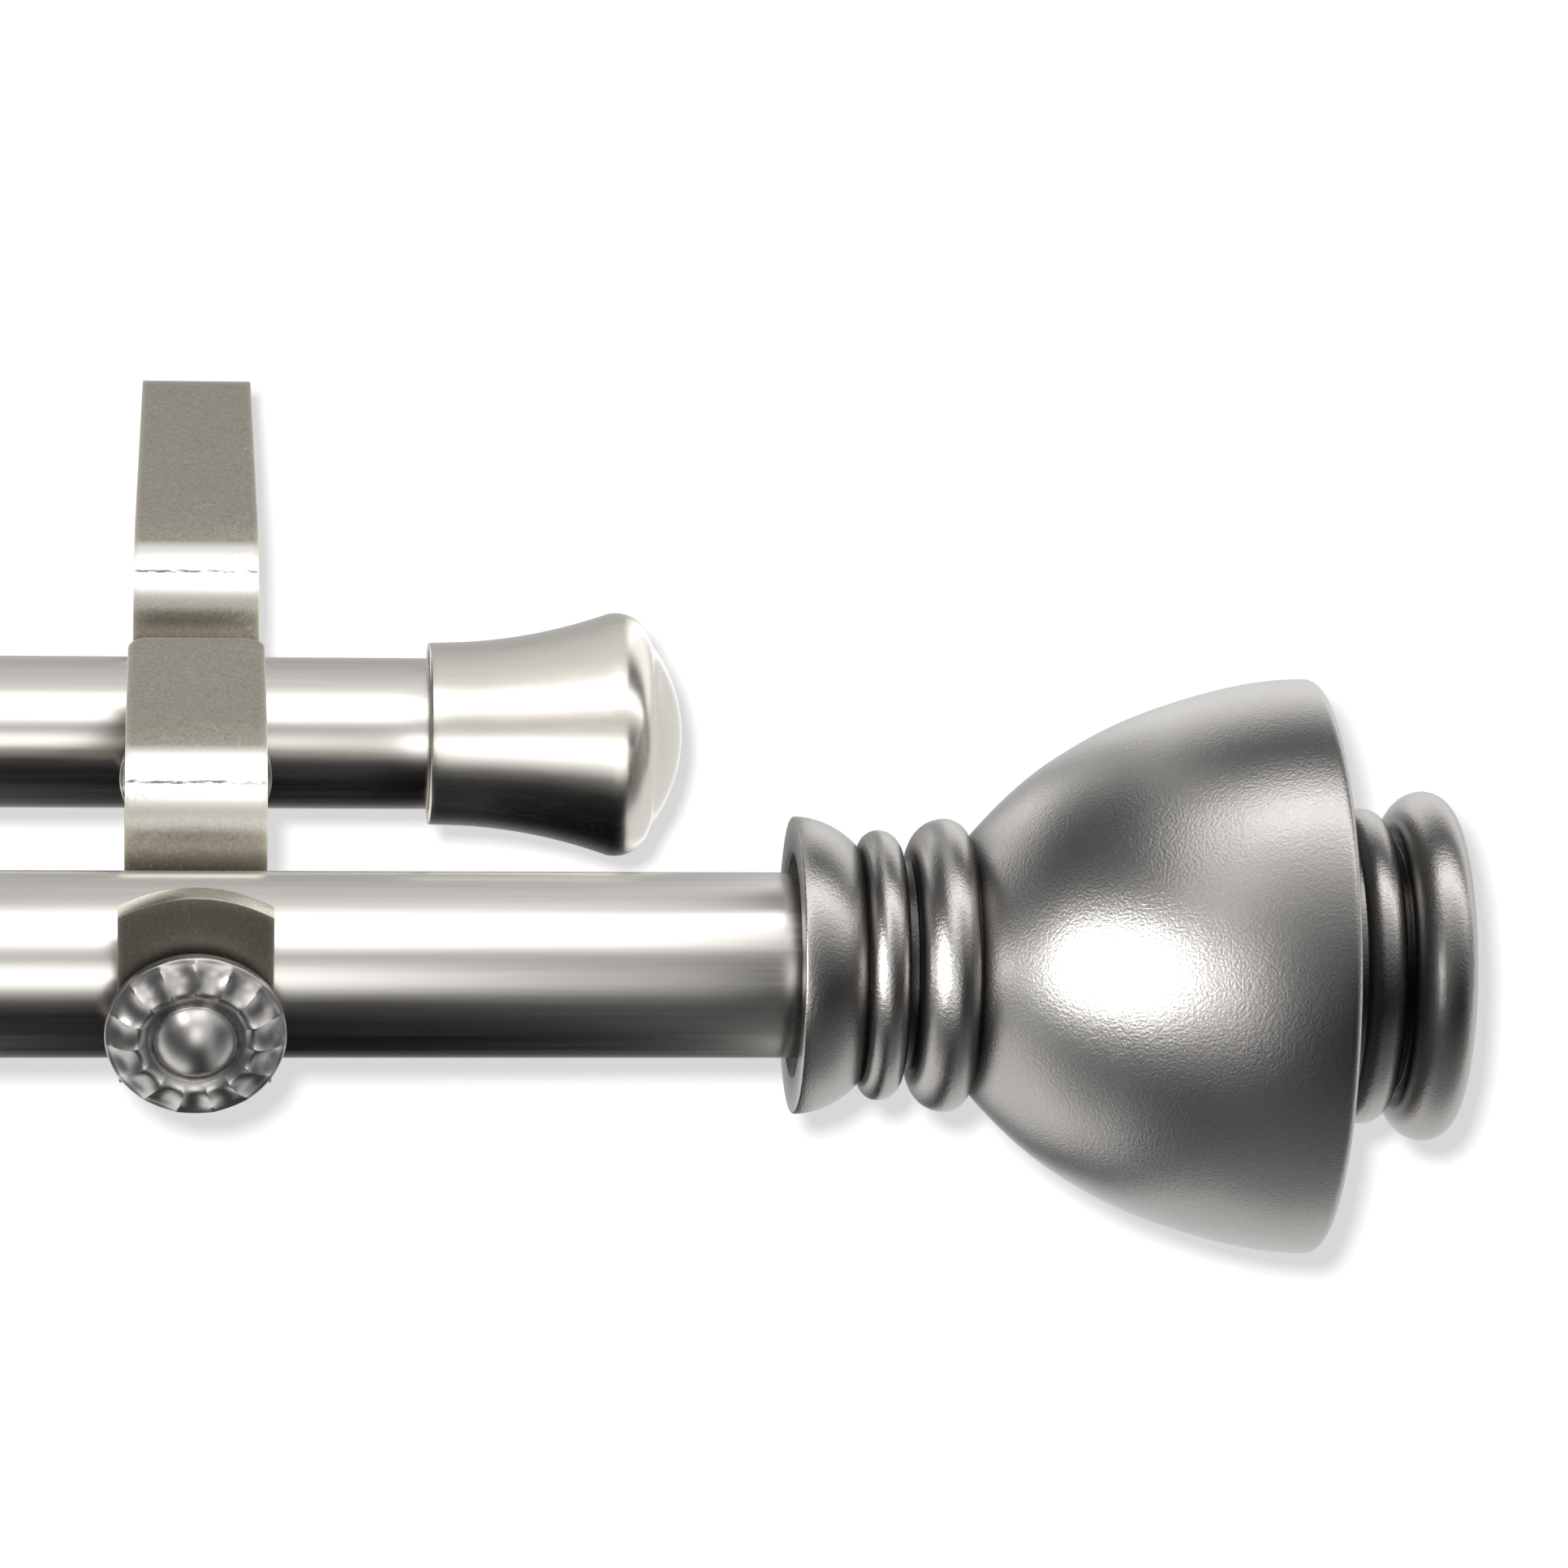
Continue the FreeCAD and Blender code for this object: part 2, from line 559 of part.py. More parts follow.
def knob_profile(knob_r):
    # Half section of the knob, drawn in the XY plane with its radius along X and its face towards -Y.
    back = -KNOB_STANDOFF
    rim = back - KNOB_RIM_THICKNESS
    crown = rim - KNOB_CROWN_RISE
    moat = crown + KNOB_CUP_DEPTH
    dome = moat - KNOB_DOME_RISE
    dome_side = moat - KNOB_DOME_SIDE
    blind_r = SCREW_D / 2 + KNOB_SCREW_GAP
    blind_y = rim - SCREW_HEAD_CLEARANCE
    edge_r = knob_r - KNOB_EDGE
    edges = chain([(0, blind_y), (blind_r, blind_y), (blind_r, back), (edge_r, back)])
    edges += [arc(point(edge_r, back, 0), point(knob_r, (back + rim) / 2, 0), point(edge_r, rim, 0))]
    edges += [arc(point(edge_r, rim, 0), point((edge_r + CROWN_R) / 2, (rim + crown) / 2 - KNOB_CROWN_SWELL, 0),
                  point(CROWN_R, crown, 0))]
    edges += [arc(point(CROWN_R, crown, 0), point((CROWN_R + MOAT_R) / 2, crown + KNOB_CUP_SWELL, 0),
                  point(MOAT_R, moat, 0))]
    edges += chain([(MOAT_R, moat), (DOME_R, moat), (DOME_R, dome_side)])
    rise = dome_side - dome
    radius = (DOME_R * DOME_R + rise * rise) / (2 * rise)
    half = math.asin(DOME_R / radius) / 2
    edges += [arc(point(DOME_R, dome_side, 0),
                  point(radius * math.sin(half), dome + radius * (1 - math.cos(half)), 0), point(0, dome, 0))]
    return edges + chain([(0, dome), (0, blind_y)])


def knob(flute_band):
    # A turned disc with a domed centre and concave flutes all round its face.
    knob_r = CROWN_R + flute_band
    body = turned(knob_profile(knob_r), point(0, 0, 0), Y)
    crown = -KNOB_STANDOFF - KNOB_RIM_THICKNESS - KNOB_CROWN_RISE
    inner_r = MOAT_R + FLUTE_START
    slope = math.atan2(KNOB_CROWN_RISE, knob_r - inner_r)
    cutters = []
    for i in range(KNOB_FLUTES):
        flute = cylinder(FLUTE_RADIUS, 2 * knob_r, point(0, 0, 0), X)
        flute.rotate(point(0, 0, 0), Z, math.degrees(slope))
        flute.translate(point(inner_r, crown - FLUTE_RADIUS + FLUTE_INSET, 0))
        flute.rotate(point(0, 0, 0), Y, 90 + 360.0 * i / KNOB_FLUTES)
        cutters.append(flute)
    return body.cut(cutters)


def place_screw(shape, pole_y, pole_d, rise):
    placed = shape.copy()
    lip_front = pole_y - pole_d / 2 - CRADLE_GAP - STRIP_THICKNESS
    placed.translate(point(0, lip_front, POLE_HEIGHT + rise))
    return placed


def tip_recess(pole_d, rise):
    # How much further the screw reaches to a round pole when it stands off the pole's middle.
    return pole_d / 2 - math.sqrt((pole_d / 2) ** 2 - rise ** 2)


def on_pole(shape, mouth_x, pole_y):
    placed = shape.copy()
    placed.translate(point(mouth_x, pole_y, POLE_HEIGHT))
    return placed


def save_pair(name, shape):
    save("right_" + name, shape)
    save("left_" + name, mirrored(shape))


def save_poles():
    poles = (("front", FRONT_POLE_D, FRONT_RIGHT_END, FRONT_TUBE_PAST_BRACKET, FRONT_Y),
             ("back", BACK_POLE_D, BACK_RIGHT_END, BACK_TUBE_PAST_BRACKET, BACK_Y))
    for name, outer_d, right_end, past, axis_y in poles:
        inner_d = inner_diameter(outer_d)
        tail_x = right_end - TAIL_INSET
        inner_left = 2 * MIRROR_X - right_end
        save(name + "_outer_tube", outer_tube(outer_d, inner_d, -BRACKET_SPACING - past, right_end, axis_y))
        save(name + "_inner_tube", inner_tube(inner_d, inner_left, tail_x, axis_y))
        save(name + "_tail_ring", tail_ring(outer_d, inner_d, tail_x, axis_y))


def save_ends():
    finial_x = FRONT_RIGHT_END - SOCKET_DEPTH
    save_pair("finial", on_pole(finial(), finial_x, FRONT_Y))
    save_pair("finial_insert", on_pole(finial_insert(), finial_x, FRONT_Y))
    save_pair("finial_stud", on_pole(finial_stud(), finial_x, FRONT_Y))
    save("right_end_plug", on_pole(end_plug(FRONT_POLE_D), finial_x, FRONT_Y))
    save("left_end_plug", mirrored(on_pole(end_plug(inner_diameter(FRONT_POLE_D)), finial_x, FRONT_Y)))
    cap_x = BACK_RIGHT_END - CAP_POLE_INSERTION
    save_pair("end_cap", on_pole(end_cap(), cap_x, BACK_Y))
    save("right_cap_liner", on_pole(cap_liner(BACK_POLE_D), cap_x, BACK_Y))
    save("left_cap_liner", mirrored(on_pole(cap_liner(inner_diameter(BACK_POLE_D)), cap_x, BACK_Y)))


def save_brackets():
    save_pair("rear_arm", rear_arm())
    save_pair("front_arm", front_arm())
    screws = (("front", FRONT_Y, FRONT_POLE_D, 0.0, FRONT_FLUTE_BAND),
              ("back", BACK_Y, BACK_POLE_D, BACK_SCREW_RISE, BACK_FLUTE_BAND))
    for name, pole_y, pole_d, rise, flute_band in screws:
        stud = thumb_screw(tip_recess(pole_d, rise))
        save_pair(name + "_screw", place_screw(stud, pole_y, pole_d, rise))
        save_pair(name + "_knob", place_screw(knob(flute_band), pole_y, pole_d, rise))


save_poles()
save_ends()
save_brackets()
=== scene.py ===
"""Dresses the double curtain pole: fine meshes and finishes for every visible piece, a stage and a camera."""

import json
import math

import bmesh
import bpy
from mathutils import Matrix, Vector

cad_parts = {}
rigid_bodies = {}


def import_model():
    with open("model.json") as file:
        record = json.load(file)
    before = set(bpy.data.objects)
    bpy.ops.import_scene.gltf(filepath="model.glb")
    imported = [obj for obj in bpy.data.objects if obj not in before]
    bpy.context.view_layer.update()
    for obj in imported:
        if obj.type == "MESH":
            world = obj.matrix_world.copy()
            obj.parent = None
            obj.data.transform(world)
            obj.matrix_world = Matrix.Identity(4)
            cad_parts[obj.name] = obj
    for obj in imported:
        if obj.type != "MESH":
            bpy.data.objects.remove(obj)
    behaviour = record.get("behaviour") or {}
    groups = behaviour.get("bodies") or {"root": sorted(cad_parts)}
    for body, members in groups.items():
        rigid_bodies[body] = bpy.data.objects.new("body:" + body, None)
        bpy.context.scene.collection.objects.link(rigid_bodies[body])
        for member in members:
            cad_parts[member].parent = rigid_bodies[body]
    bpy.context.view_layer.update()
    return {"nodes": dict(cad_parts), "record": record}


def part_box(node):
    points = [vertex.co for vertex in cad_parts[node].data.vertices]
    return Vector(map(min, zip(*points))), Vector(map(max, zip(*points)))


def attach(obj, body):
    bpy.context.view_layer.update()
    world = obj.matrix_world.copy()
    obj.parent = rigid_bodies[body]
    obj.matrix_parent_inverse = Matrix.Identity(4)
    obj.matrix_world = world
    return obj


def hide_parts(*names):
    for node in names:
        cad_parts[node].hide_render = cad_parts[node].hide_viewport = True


bl_info = {
    "name": "Double Curtain Pole",
    "version": (1, 0, 0),
    "blender": (4, 5, 0),
    "location": "View3D > Sidebar > Curtain Pole",
    "description": "Fine meshes and finishes for a telescoping double curtain pole",
    "category": "Object",
}

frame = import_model()
MM = 0.001
ON_AXIS = 1e-7
SIDES = ("right", "left")


# Places read from the frame

class Axis:
    """The middle line of a round node along X: its height, depth, radius and ends."""

    def __init__(self, node):
        low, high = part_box(node)
        self.left, self.right = low.x, high.x
        self.y, self.z = (low.y + high.y) / 2, (low.z + high.z) / 2
        self.radius = (high.z - low.z) / 2


def screw_seat(node):
    """The middle of the wall end of a round node along Y, its radius and its length."""
    low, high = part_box(node)
    return Vector(((low.x + high.x) / 2, high.y, (low.z + high.z) / 2)), (high.x - low.x) / 2, high.y - low.y


FRONT_POLE = Axis("front_outer_tube")
BACK_POLE = Axis("back_outer_tube")
BRACKET_X = {side: sum(corner.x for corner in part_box(f"{side}_front_arm")) / 2 for side in SIDES}
FACING = {"right": 1, "left": -1}


# Sizes and colours that a user would change

class PoleSettings(bpy.types.PropertyGroup):
    """Sizes of the tubes' walls and mouths."""

    wall: bpy.props.FloatProperty(name="Tube wall", description="Thickness of each tube's wall",
                                  default=0.8 * MM, unit="LENGTH")
    roll: bpy.props.FloatProperty(name="Rolled mouth", description="Length of the rolled-in tube mouth",
                                  default=4 * MM, unit="LENGTH")
    segments: bpy.props.IntProperty(name="Segments", description="Facets round a tube", default=128)


class BracketSettings(bpy.types.PropertyGroup):
    """Sizes of the bent strips."""

    thickness: bpy.props.FloatProperty(name="Strip thickness", description="Thickness of the strip",
                                       default=2.6 * MM, unit="LENGTH")
    wall_bend: bpy.props.FloatProperty(name="Wall bend radius", description="Outer radius of the bend at the wall",
                                       default=9.2 * MM, unit="LENGTH")
    rear_bend: bpy.props.FloatProperty(name="Rear bend radius", description="Outer radius behind the back pole",
                                       default=12 * MM, unit="LENGTH")
    front_bend: bpy.props.FloatProperty(name="Front bend radius", description="Outer radius behind the front pole",
                                        default=13.5 * MM, unit="LENGTH")
    tight_bend: bpy.props.FloatProperty(name="Tab bend radius", description="Outer radius of the hidden tab's bend",
                                        default=4 * MM, unit="LENGTH")
    cradle_gap: bpy.props.FloatProperty(name="Cradle gap", description="Gap between a pole and its cradle",
                                        default=0.3 * MM, unit="LENGTH")
    slack: bpy.props.FloatProperty(name="Front cradle slack", description="Extra depth of the front cradle",
                                   default=0.8 * MM, unit="LENGTH")
    setback: bpy.props.FloatProperty(name="Setback", description="From the back cradle to the front strip's free end",
                                     default=0.8 * MM, unit="LENGTH")
    lip_rise: bpy.props.FloatProperty(name="Lip rise", description="Height of the front lip above its pole's middle",
                                      default=16.9 * MM, unit="LENGTH")
    corner: bpy.props.FloatProperty(name="Corner radius", description="Corner radius of the front strip's free end",
                                    default=2.5 * MM, unit="LENGTH")
    crown: bpy.props.FloatProperty(name="Lip crown", description="Rise of the front lip's arched top edge",
                                   default=2.6 * MM, unit="LENGTH")
    wall_width: bpy.props.FloatProperty(name="Width at wall", description="Rear strip's width at the wall",
                                        default=14.0 * MM, unit="LENGTH")
    arm_width: bpy.props.FloatProperty(name="Front strip width", description="Front strip's width on its flat",
                                       default=16.9 * MM, unit="LENGTH")
    arm_taper: bpy.props.FloatProperty(name="Front strip taper", description="Narrowing towards its free end",
                                       default=0.3 * MM, unit="LENGTH")
    tab: bpy.props.FloatProperty(name="Tab length", description="Length of the rear strip's hidden tab",
                                 default=15.0 * MM, unit="LENGTH")
    hole: bpy.props.FloatProperty(name="Wall hole", description="Diameter of the wall holes",
                                  default=5.0 * MM, unit="LENGTH")
    hole_spacing: bpy.props.FloatProperty(name="Hole spacing", description="Distance between the wall holes",
                                          default=30.0 * MM, unit="LENGTH")
    screw_hole: bpy.props.FloatProperty(name="Screw hole", description="Diameter of the thumb screw holes",
                                        default=5.16 * MM, unit="LENGTH")
    edge: bpy.props.FloatProperty(name="Edge rounding", description="Width of the strip's softened edges",
                                  default=0.35 * MM, unit="LENGTH")


class KnobSettings(bpy.types.PropertyGroup):
    """Form of the fluted thumb screw knobs."""

    flutes: bpy.props.IntProperty(name="Flutes", description="Concave flutes round the face", default=15)
    crown: bpy.props.FloatProperty(name="Crown diameter", description="Diameter of the face's highest ring",
                                   default=13.9 * MM, unit="LENGTH")
    groove: bpy.props.FloatProperty(name="Groove diameter", description="Diameter of the groove round the dome",
                                    default=10.7 * MM, unit="LENGTH")
    dome: bpy.props.FloatProperty(name="Dome diameter", description="Diameter of the central dome",
                                  default=9.5 * MM, unit="LENGTH")
    depth: bpy.props.FloatProperty(name="Flute depth", description="Greatest depth of each flute",
                                   default=0.85 * MM, unit="LENGTH")
    pitch: bpy.props.FloatProperty(name="Thread pitch", description="Pitch of the screw's thread",
                                   default=0.8 * MM, unit="LENGTH")


class FinishSettings(bpy.types.PropertyGroup):
    """Colours of the finishes."""

    pole: bpy.props.FloatVectorProperty(name="Pole", description="Satin nickel of the tubes", size=4,
                                        subtype="COLOR", default=(0.66, 0.635, 0.60, 1))
    bracket: bpy.props.FloatVectorProperty(name="Bracket", description="Satin nickel of the strips", size=4,
                                           subtype="COLOR", default=(0.43, 0.40, 0.335, 1))
    cap: bpy.props.FloatVectorProperty(name="Cap", description="Satin nickel of the end caps", size=4,
                                       subtype="COLOR", default=(0.66, 0.63, 0.58, 1))
    knob: bpy.props.FloatVectorProperty(name="Knob", description="Darkened nickel of the knobs", size=4,
                                        subtype="COLOR", default=(0.46, 0.445, 0.43, 1))
    finial: bpy.props.FloatVectorProperty(name="Finial", description="Metallic paint of the finials", size=4,
                                          subtype="COLOR", default=(0.40, 0.385, 0.37, 1))
    backdrop: bpy.props.FloatVectorProperty(name="Backdrop", description="Pale backdrop", size=4,
                                            subtype="COLOR", default=(0.92, 0.92, 0.92, 1))


class CameraSettings(bpy.types.PropertyGroup):
    """Where the photograph was taken from."""

    place: bpy.props.FloatVectorProperty(name="Place", description="Camera position", size=3, unit="LENGTH",
                                         subtype="XYZ", default=(-0.0015, -0.7601, 0.4082))
    yaw: bpy.props.FloatProperty(name="Yaw", description="Turn to the right of straight ahead",
                                 default=math.radians(6.273), subtype="ANGLE", unit="ROTATION")
    pitch: bpy.props.FloatProperty(name="Pitch", description="Tilt below the horizon",
                                   default=math.radians(28.771), subtype="ANGLE", unit="ROTATION")
    roll: bpy.props.FloatProperty(name="Roll", description="Turn about the line of sight",
                                  default=math.radians(3.272), subtype="ANGLE", unit="ROTATION")
    focal_px: bpy.props.FloatProperty(name="Focal length", description="Focal length in pixels of the photograph",
                                      default=7689.0)


SETTINGS = {"cp_pole": PoleSettings, "cp_bracket": BracketSettings, "cp_knob": KnobSettings,
            "cp_finish": FinishSettings, "cp_camera": CameraSettings}


def settings(name):
    return getattr(bpy.context.scene, "cp_" + name)


# Mesh helpers

def new_object(name, verts, faces, sharp_angle=32):
    """A smooth-shaded mesh object whose edges sharper than the angle stay crisp."""
    mesh = bpy.data.meshes.new(name)
    mesh.from_pydata([tuple(v) for v in verts], [], faces)
    mesh.validate()
    obj = bpy.data.objects.new(name, mesh)
    bpy.context.scene.collection.objects.link(obj)
    finish_shading(mesh, sharp_angle)
    return obj


def finish_shading(mesh, sharp_angle):
    mesh.update()
    mesh.shade_smooth()
    mesh.set_sharp_from_angle(angle=math.radians(sharp_angle))


def mark(obj, name, values):
    """Gives each point of a mesh a number that its finish reads."""
    obj.data.attributes.new(name, "FLOAT", "POINT").data.foreach_set("value", values)


def recalculate_normals(mesh):
    bm = bmesh.new()
    bm.from_mesh(mesh)
    bmesh.ops.recalc_face_normals(bm, faces=bm.faces)
    bm.to_mesh(mesh)
    bm.free()


def lathe(name, profile, place, direction=Vector((1, 0, 0)), segments=128, relief=None, sharp_angle=32):
    """A closed profile of (distance along the axis, radius) turned about an axis through place.
    relief(distance, radius, angle) gives each point's own (distance, radius)."""
    along = Vector(direction).normalized()
    side = along.orthogonal().normalized() if abs(along.z) > 0.9 else Vector((0, 0, 1))
    other = along.cross(side)
    verts, rings = [], []
    for distance, radius in profile:
        count = 1 if radius < ON_AXIS else segments
        ring = []
        for i in range(count):
            angle = 2 * math.pi * i / segments
            d, r = relief(distance, radius, angle) if relief and count > 1 else (distance, radius)
            ring.append(len(verts))
            verts.append(place + along * d + (side * math.cos(angle) + other * math.sin(angle)) * r)
        rings.append(ring)
    faces = []
    closed = rings + rings[:1] if len(rings[0]) > 1 and len(rings[-1]) > 1 else rings
    for a, b in zip(closed, closed[1:]):
        for i in range(segments):
            j = (i + 1) % segments
            if len(a) == 1 and len(b) == 1:
                continue
            if len(a) == 1:
                faces.append((a[0], b[j], b[i]))
            elif len(b) == 1:
                faces.append((a[i], a[j], b[0]))
            else:
                faces.append((a[i], a[j], b[j], b[i]))
    obj = new_object(name, verts, faces, sharp_angle)
    recalculate_normals(obj.data)
    finish_shading(obj.data, sharp_angle)
    return obj


def level_arc(peak, end, steps=10):
    """Points of an arc that is level at its peak and runs to its end."""
    run, drop = end[0] - peak[0], peak[1] - end[1]
    radius = (run * run + drop * drop) / (2 * drop)
    full = math.atan2(run, radius - drop)
    return [(peak[0] + radius * math.sin(full * i / steps), peak[1] - radius * (1 - math.cos(full * i / steps)))
            for i in range(steps + 1)]


def bead(start, peak, end, steps=10):
    """A rounded moulding from start up to its peak and down to end."""
    return level_arc(peak, start, steps)[::-1] + level_arc(peak, end, steps)[1:]


def domed_end(start, tip, steps=12):
    """A shallow dome from (distance, radius) to a tip on the axis."""
    rise, radius = tip - start[0], start[1]
    sphere = (radius * radius + rise * rise) / (2 * rise)
    full = math.asin(radius / sphere)
    return [(tip - sphere * (1 - math.cos(full * (1 - i / steps))), sphere * math.sin(full * (1 - i / steps)))
            for i in range(steps + 1)]


def ease_out(t):
    """An easing that starts steep and ends level."""
    return math.sin(t * math.pi / 2)


def ease_in(t):
    """An easing that starts level and ends steep."""
    return 1 - math.cos(t * math.pi / 2)


def eased(start, end, steps, ease):
    """Points after start up to end, with even steps in radius and eased ones along the axis."""
    shares = [i / steps for i in range(1, steps + 1)]
    return [(start[0] + (end[0] - start[0]) * ease(t), start[1] + (end[1] - start[1]) * t) for t in shares]


def smooth_curve(points, steps=8, first_slope=None, last_slope=None):
    """A smooth curve through the points, with optional slopes at its ends."""
    slopes = []
    for i, (x, r) in enumerate(points):
        if i == 0:
            slope = first_slope if first_slope is not None else (points[1][1] - r) / (points[1][0] - x)
        elif i == len(points) - 1:
            slope = last_slope if last_slope is not None else (r - points[i - 1][1]) / (x - points[i - 1][0])
        else:
            before, after = points[i - 1], points[i + 1]
            left, right = x - before[0], after[0] - x
            slope = ((r - before[1]) / left * right + (after[1] - r) / right * left) / (left + right)
        slopes.append(slope)
    result = []
    for (a, b, sa, sb) in zip(points, points[1:], slopes, slopes[1:]):
        width = b[0] - a[0]
        for i in range(steps):
            t = i / steps
            h = ((1 + 2 * t) * (1 - t) ** 2, t * (1 - t) ** 2, t * t * (3 - 2 * t), t * t * (t - 1))
            result.append((a[0] + width * t, h[0] * a[1] + h[1] * width * sa + h[2] * b[1] + h[3] * width * sb))
    return result + [points[-1]]


def softened(profile, radius, sharp=35, steps=4):
    """The closed profile with each corner sharper than the angle rounded."""
    count = len(profile)
    result = []
    for i, corner in enumerate(profile):
        before, after = profile[i - 1], profile[(i + 1) % count]
        into = Vector(corner) - Vector(before)
        out = Vector(after) - Vector(corner)
        on_axis = corner[1] < ON_AXIS
        if on_axis or into.length < 1e-9 or out.length < 1e-9 or into.angle(out) < math.radians(sharp):
            result.append(corner)
            continue
        reach = min(radius, 0.4 * into.length, 0.4 * out.length)
        start = Vector(corner) - into.normalized() * reach
        end = Vector(corner) + out.normalized() * reach
        for k in range(steps + 1):
            t = k / steps
            result.append(tuple(start.lerp(Vector(corner), t).lerp(Vector(corner).lerp(end, t), t)))
    return result


def in_metres(profile):
    return [(x * MM, r * MM) for x, r in profile]


def show(obj, body, node, material):
    """Gives a piece its body, its slot and its finish, and hides the node that it stands for."""
    obj.data.materials.clear()
    obj.data.materials.append(material)
    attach(obj, body)
    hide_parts(node)


def body_of_node(node):
    for body, nodes in frame["record"]["behaviour"]["bodies"].items():
        if node in nodes:
            return body
    raise RuntimeError(f"no body holds {node}")


# Node helpers and shared effects

def new_material(name):
    material = bpy.data.materials.new(name)
    material.use_nodes = True
    return material, material.node_tree, material.node_tree.nodes["Principled BSDF"]


def feed(tree, value, socket):
    """Links a value that varies to the socket, or sets a constant one on it."""
    if isinstance(value, bpy.types.NodeSocket):
        tree.links.new(value, socket)
    else:
        socket.default_value = value


def add(tree, kind, **values):
    """A new node with its options and its inputs, whose names follow in_."""
    node = tree.nodes.new(kind)
    for key, value in values.items():
        if key.startswith("in_"):
            feed(tree, value, node.inputs[key[3:].replace("_", " ")])
        else:
            setattr(node, key, value)
    return node


def math_node(tree, operation, *values):
    node = add(tree, "ShaderNodeMath", operation=operation)
    for value, socket in zip(values, node.inputs):
        feed(tree, value, socket)
    return node.outputs[0]


def plus(tree, a, b):
    return math_node(tree, "ADD", a, b)


def times(tree, a, b):
    return math_node(tree, "MULTIPLY", a, b)


def mix_colour(tree, factor, a, b):
    node = add(tree, "ShaderNodeMix", data_type="RGBA")
    for name, value in (("Factor_Float", factor), ("A_Color", a), ("B_Color", b)):
        feed(tree, value, next(socket for socket in node.inputs if socket.identifier == name))
    return next(socket for socket in node.outputs if socket.identifier == "Result_Color")


def spread(tree, value, low, high, to_low=0.0, to_high=1.0):
    """Maps a value from one range to another, clamped."""
    node = add(tree, "ShaderNodeMapRange", clamp=True, in_Value=value, in_From_Min=low, in_From_Max=high,
               in_To_Min=to_low, in_To_Max=to_high)
    return node.outputs["Result"]


def attribute(tree, name):
    """The numbers that a mesh's points were marked with."""
    return add(tree, "ShaderNodeAttribute", attribute_name=name).outputs["Fac"]


def object_noise(tree, scale, detail=3.0, roughness=0.55, stretch=(1, 1, 1), offset=(0, 0, 0), turn=0.0):
    """Noise in the object's own space, which is first moved, turned about Z and then scaled by stretch."""
    place = tree.nodes.new("ShaderNodeTexCoord").outputs["Object"]
    mapping = add(tree, "ShaderNodeMapping", vector_type="TEXTURE", in_Vector=place, in_Location=offset,
                  in_Rotation=(0, 0, math.radians(turn)), in_Scale=[1 / part for part in stretch])
    noise = add(tree, "ShaderNodeTexNoise", in_Vector=mapping.outputs[0], in_Scale=scale, in_Detail=detail,
                in_Roughness=roughness)
    return noise.outputs["Fac"]


def new_group(name, inputs, outputs):
    """An empty node group with its named inputs, their defaults, and its named outputs."""
    group = bpy.data.node_groups.new(name, "ShaderNodeTree")
    for label, default in inputs.items():
        socket = group.interface.new_socket(name=label, in_out="INPUT", socket_type="NodeSocketFloat")
        socket.default_value = default
    for label in outputs:
        group.interface.new_socket(name=label, in_out="OUTPUT", socket_type="NodeSocketFloat")
    return group, group.nodes.new("NodeGroupInput").outputs, group.nodes.new("NodeGroupOutput").inputs


def streaks_group():
    """Fine drawn streaks along X, as a mask and a height."""
    group, given, out = new_group("Drawn Streaks", {"Scale": 900.0, "Amount": 1.0}, ("Mask", "Height"))
    fine = object_noise(group, given["Scale"], detail=2.0, roughness=0.6, stretch=(0.02, 1, 1))
    broad = object_noise(group, 160.0, detail=2.0, roughness=0.5, stretch=(0.05, 1, 1), offset=(3, 1, 2))
    both = plus(group, times(group, fine, 0.6), times(group, broad, 0.4))
    feed(group, times(group, spread(group, both, 0.35, 0.65), given["Amount"]), out["Mask"])
    feed(group, fine, out["Height"])
    return group


def grain_group():
    """A fine orange-peel and sparkle grain, as a mask, a sparkle and a height."""
    group, given, out = new_group("Paint Grain", {"Scale": 900.0, "Sparkle": 0.7}, ("Mask", "Sparkle", "Height"))
    peel = object_noise(group, given["Scale"], detail=3.0, roughness=0.6)
    cloud = object_noise(group, 70.0, detail=3.0, roughness=0.5, offset=(1, 5, 2))
    flakes = object_noise(group, 3600.0, detail=1.0, roughness=0.5, offset=(4, 2, 7))
    feed(group, spread(group, cloud, 0.3, 0.7), out["Mask"])
    feed(group, times(group, spread(group, flakes, 0.66, 0.74), given["Sparkle"]), out["Sparkle"])
    feed(group, peel, out["Height"])
    return group


SCRATCH_TURNS = (-62, -25, 20, 70)


def wear_group():
    """Scuffs, more of them where Edge is high, and fine scratches that cross in patches."""
    group, given, out = new_group("Handling Wear", {"Edge": 0.0, "Amount": 0.5}, ("Mask", "Scratches"))
    blotch = object_noise(group, 240.0, detail=5.0, roughness=0.65, offset=(2, 2, 9))
    scuffs = spread(group, plus(group, blotch, times(group, given["Edge"], 0.35)), 0.62, 0.85)
    feed(group, times(group, scuffs, given["Amount"]), out["Mask"])
    scratches = 0.0
    for turn in SCRATCH_TURNS:
        lines = object_noise(group, 2600.0, detail=1.0, roughness=0.5, stretch=(0.05, 1, 0.3), offset=(turn, 1, 1),
                             turn=turn)
        scratches = math_node(group, "MAXIMUM", scratches, spread(group, lines, 0.68, 0.76))
    patches = spread(group, object_noise(group, 120.0, detail=2.0, roughness=0.5, offset=(5, 5, 1)), 0.46, 0.64)
    feed(group, times(group, times(group, scratches, patches), given["Amount"]), out["Scratches"])
    return group


GROUPS = {}


def use_group(tree, maker, **values):
    """Places a shared effect with its own values. It is built the first time that it is asked for."""
    if maker not in GROUPS:
        GROUPS[maker] = maker()
    node = add(tree, "ShaderNodeGroup", node_tree=GROUPS[maker])
    for key, value in values.items():
        feed(tree, value, node.inputs[key])
    return node.outputs


# Finishes

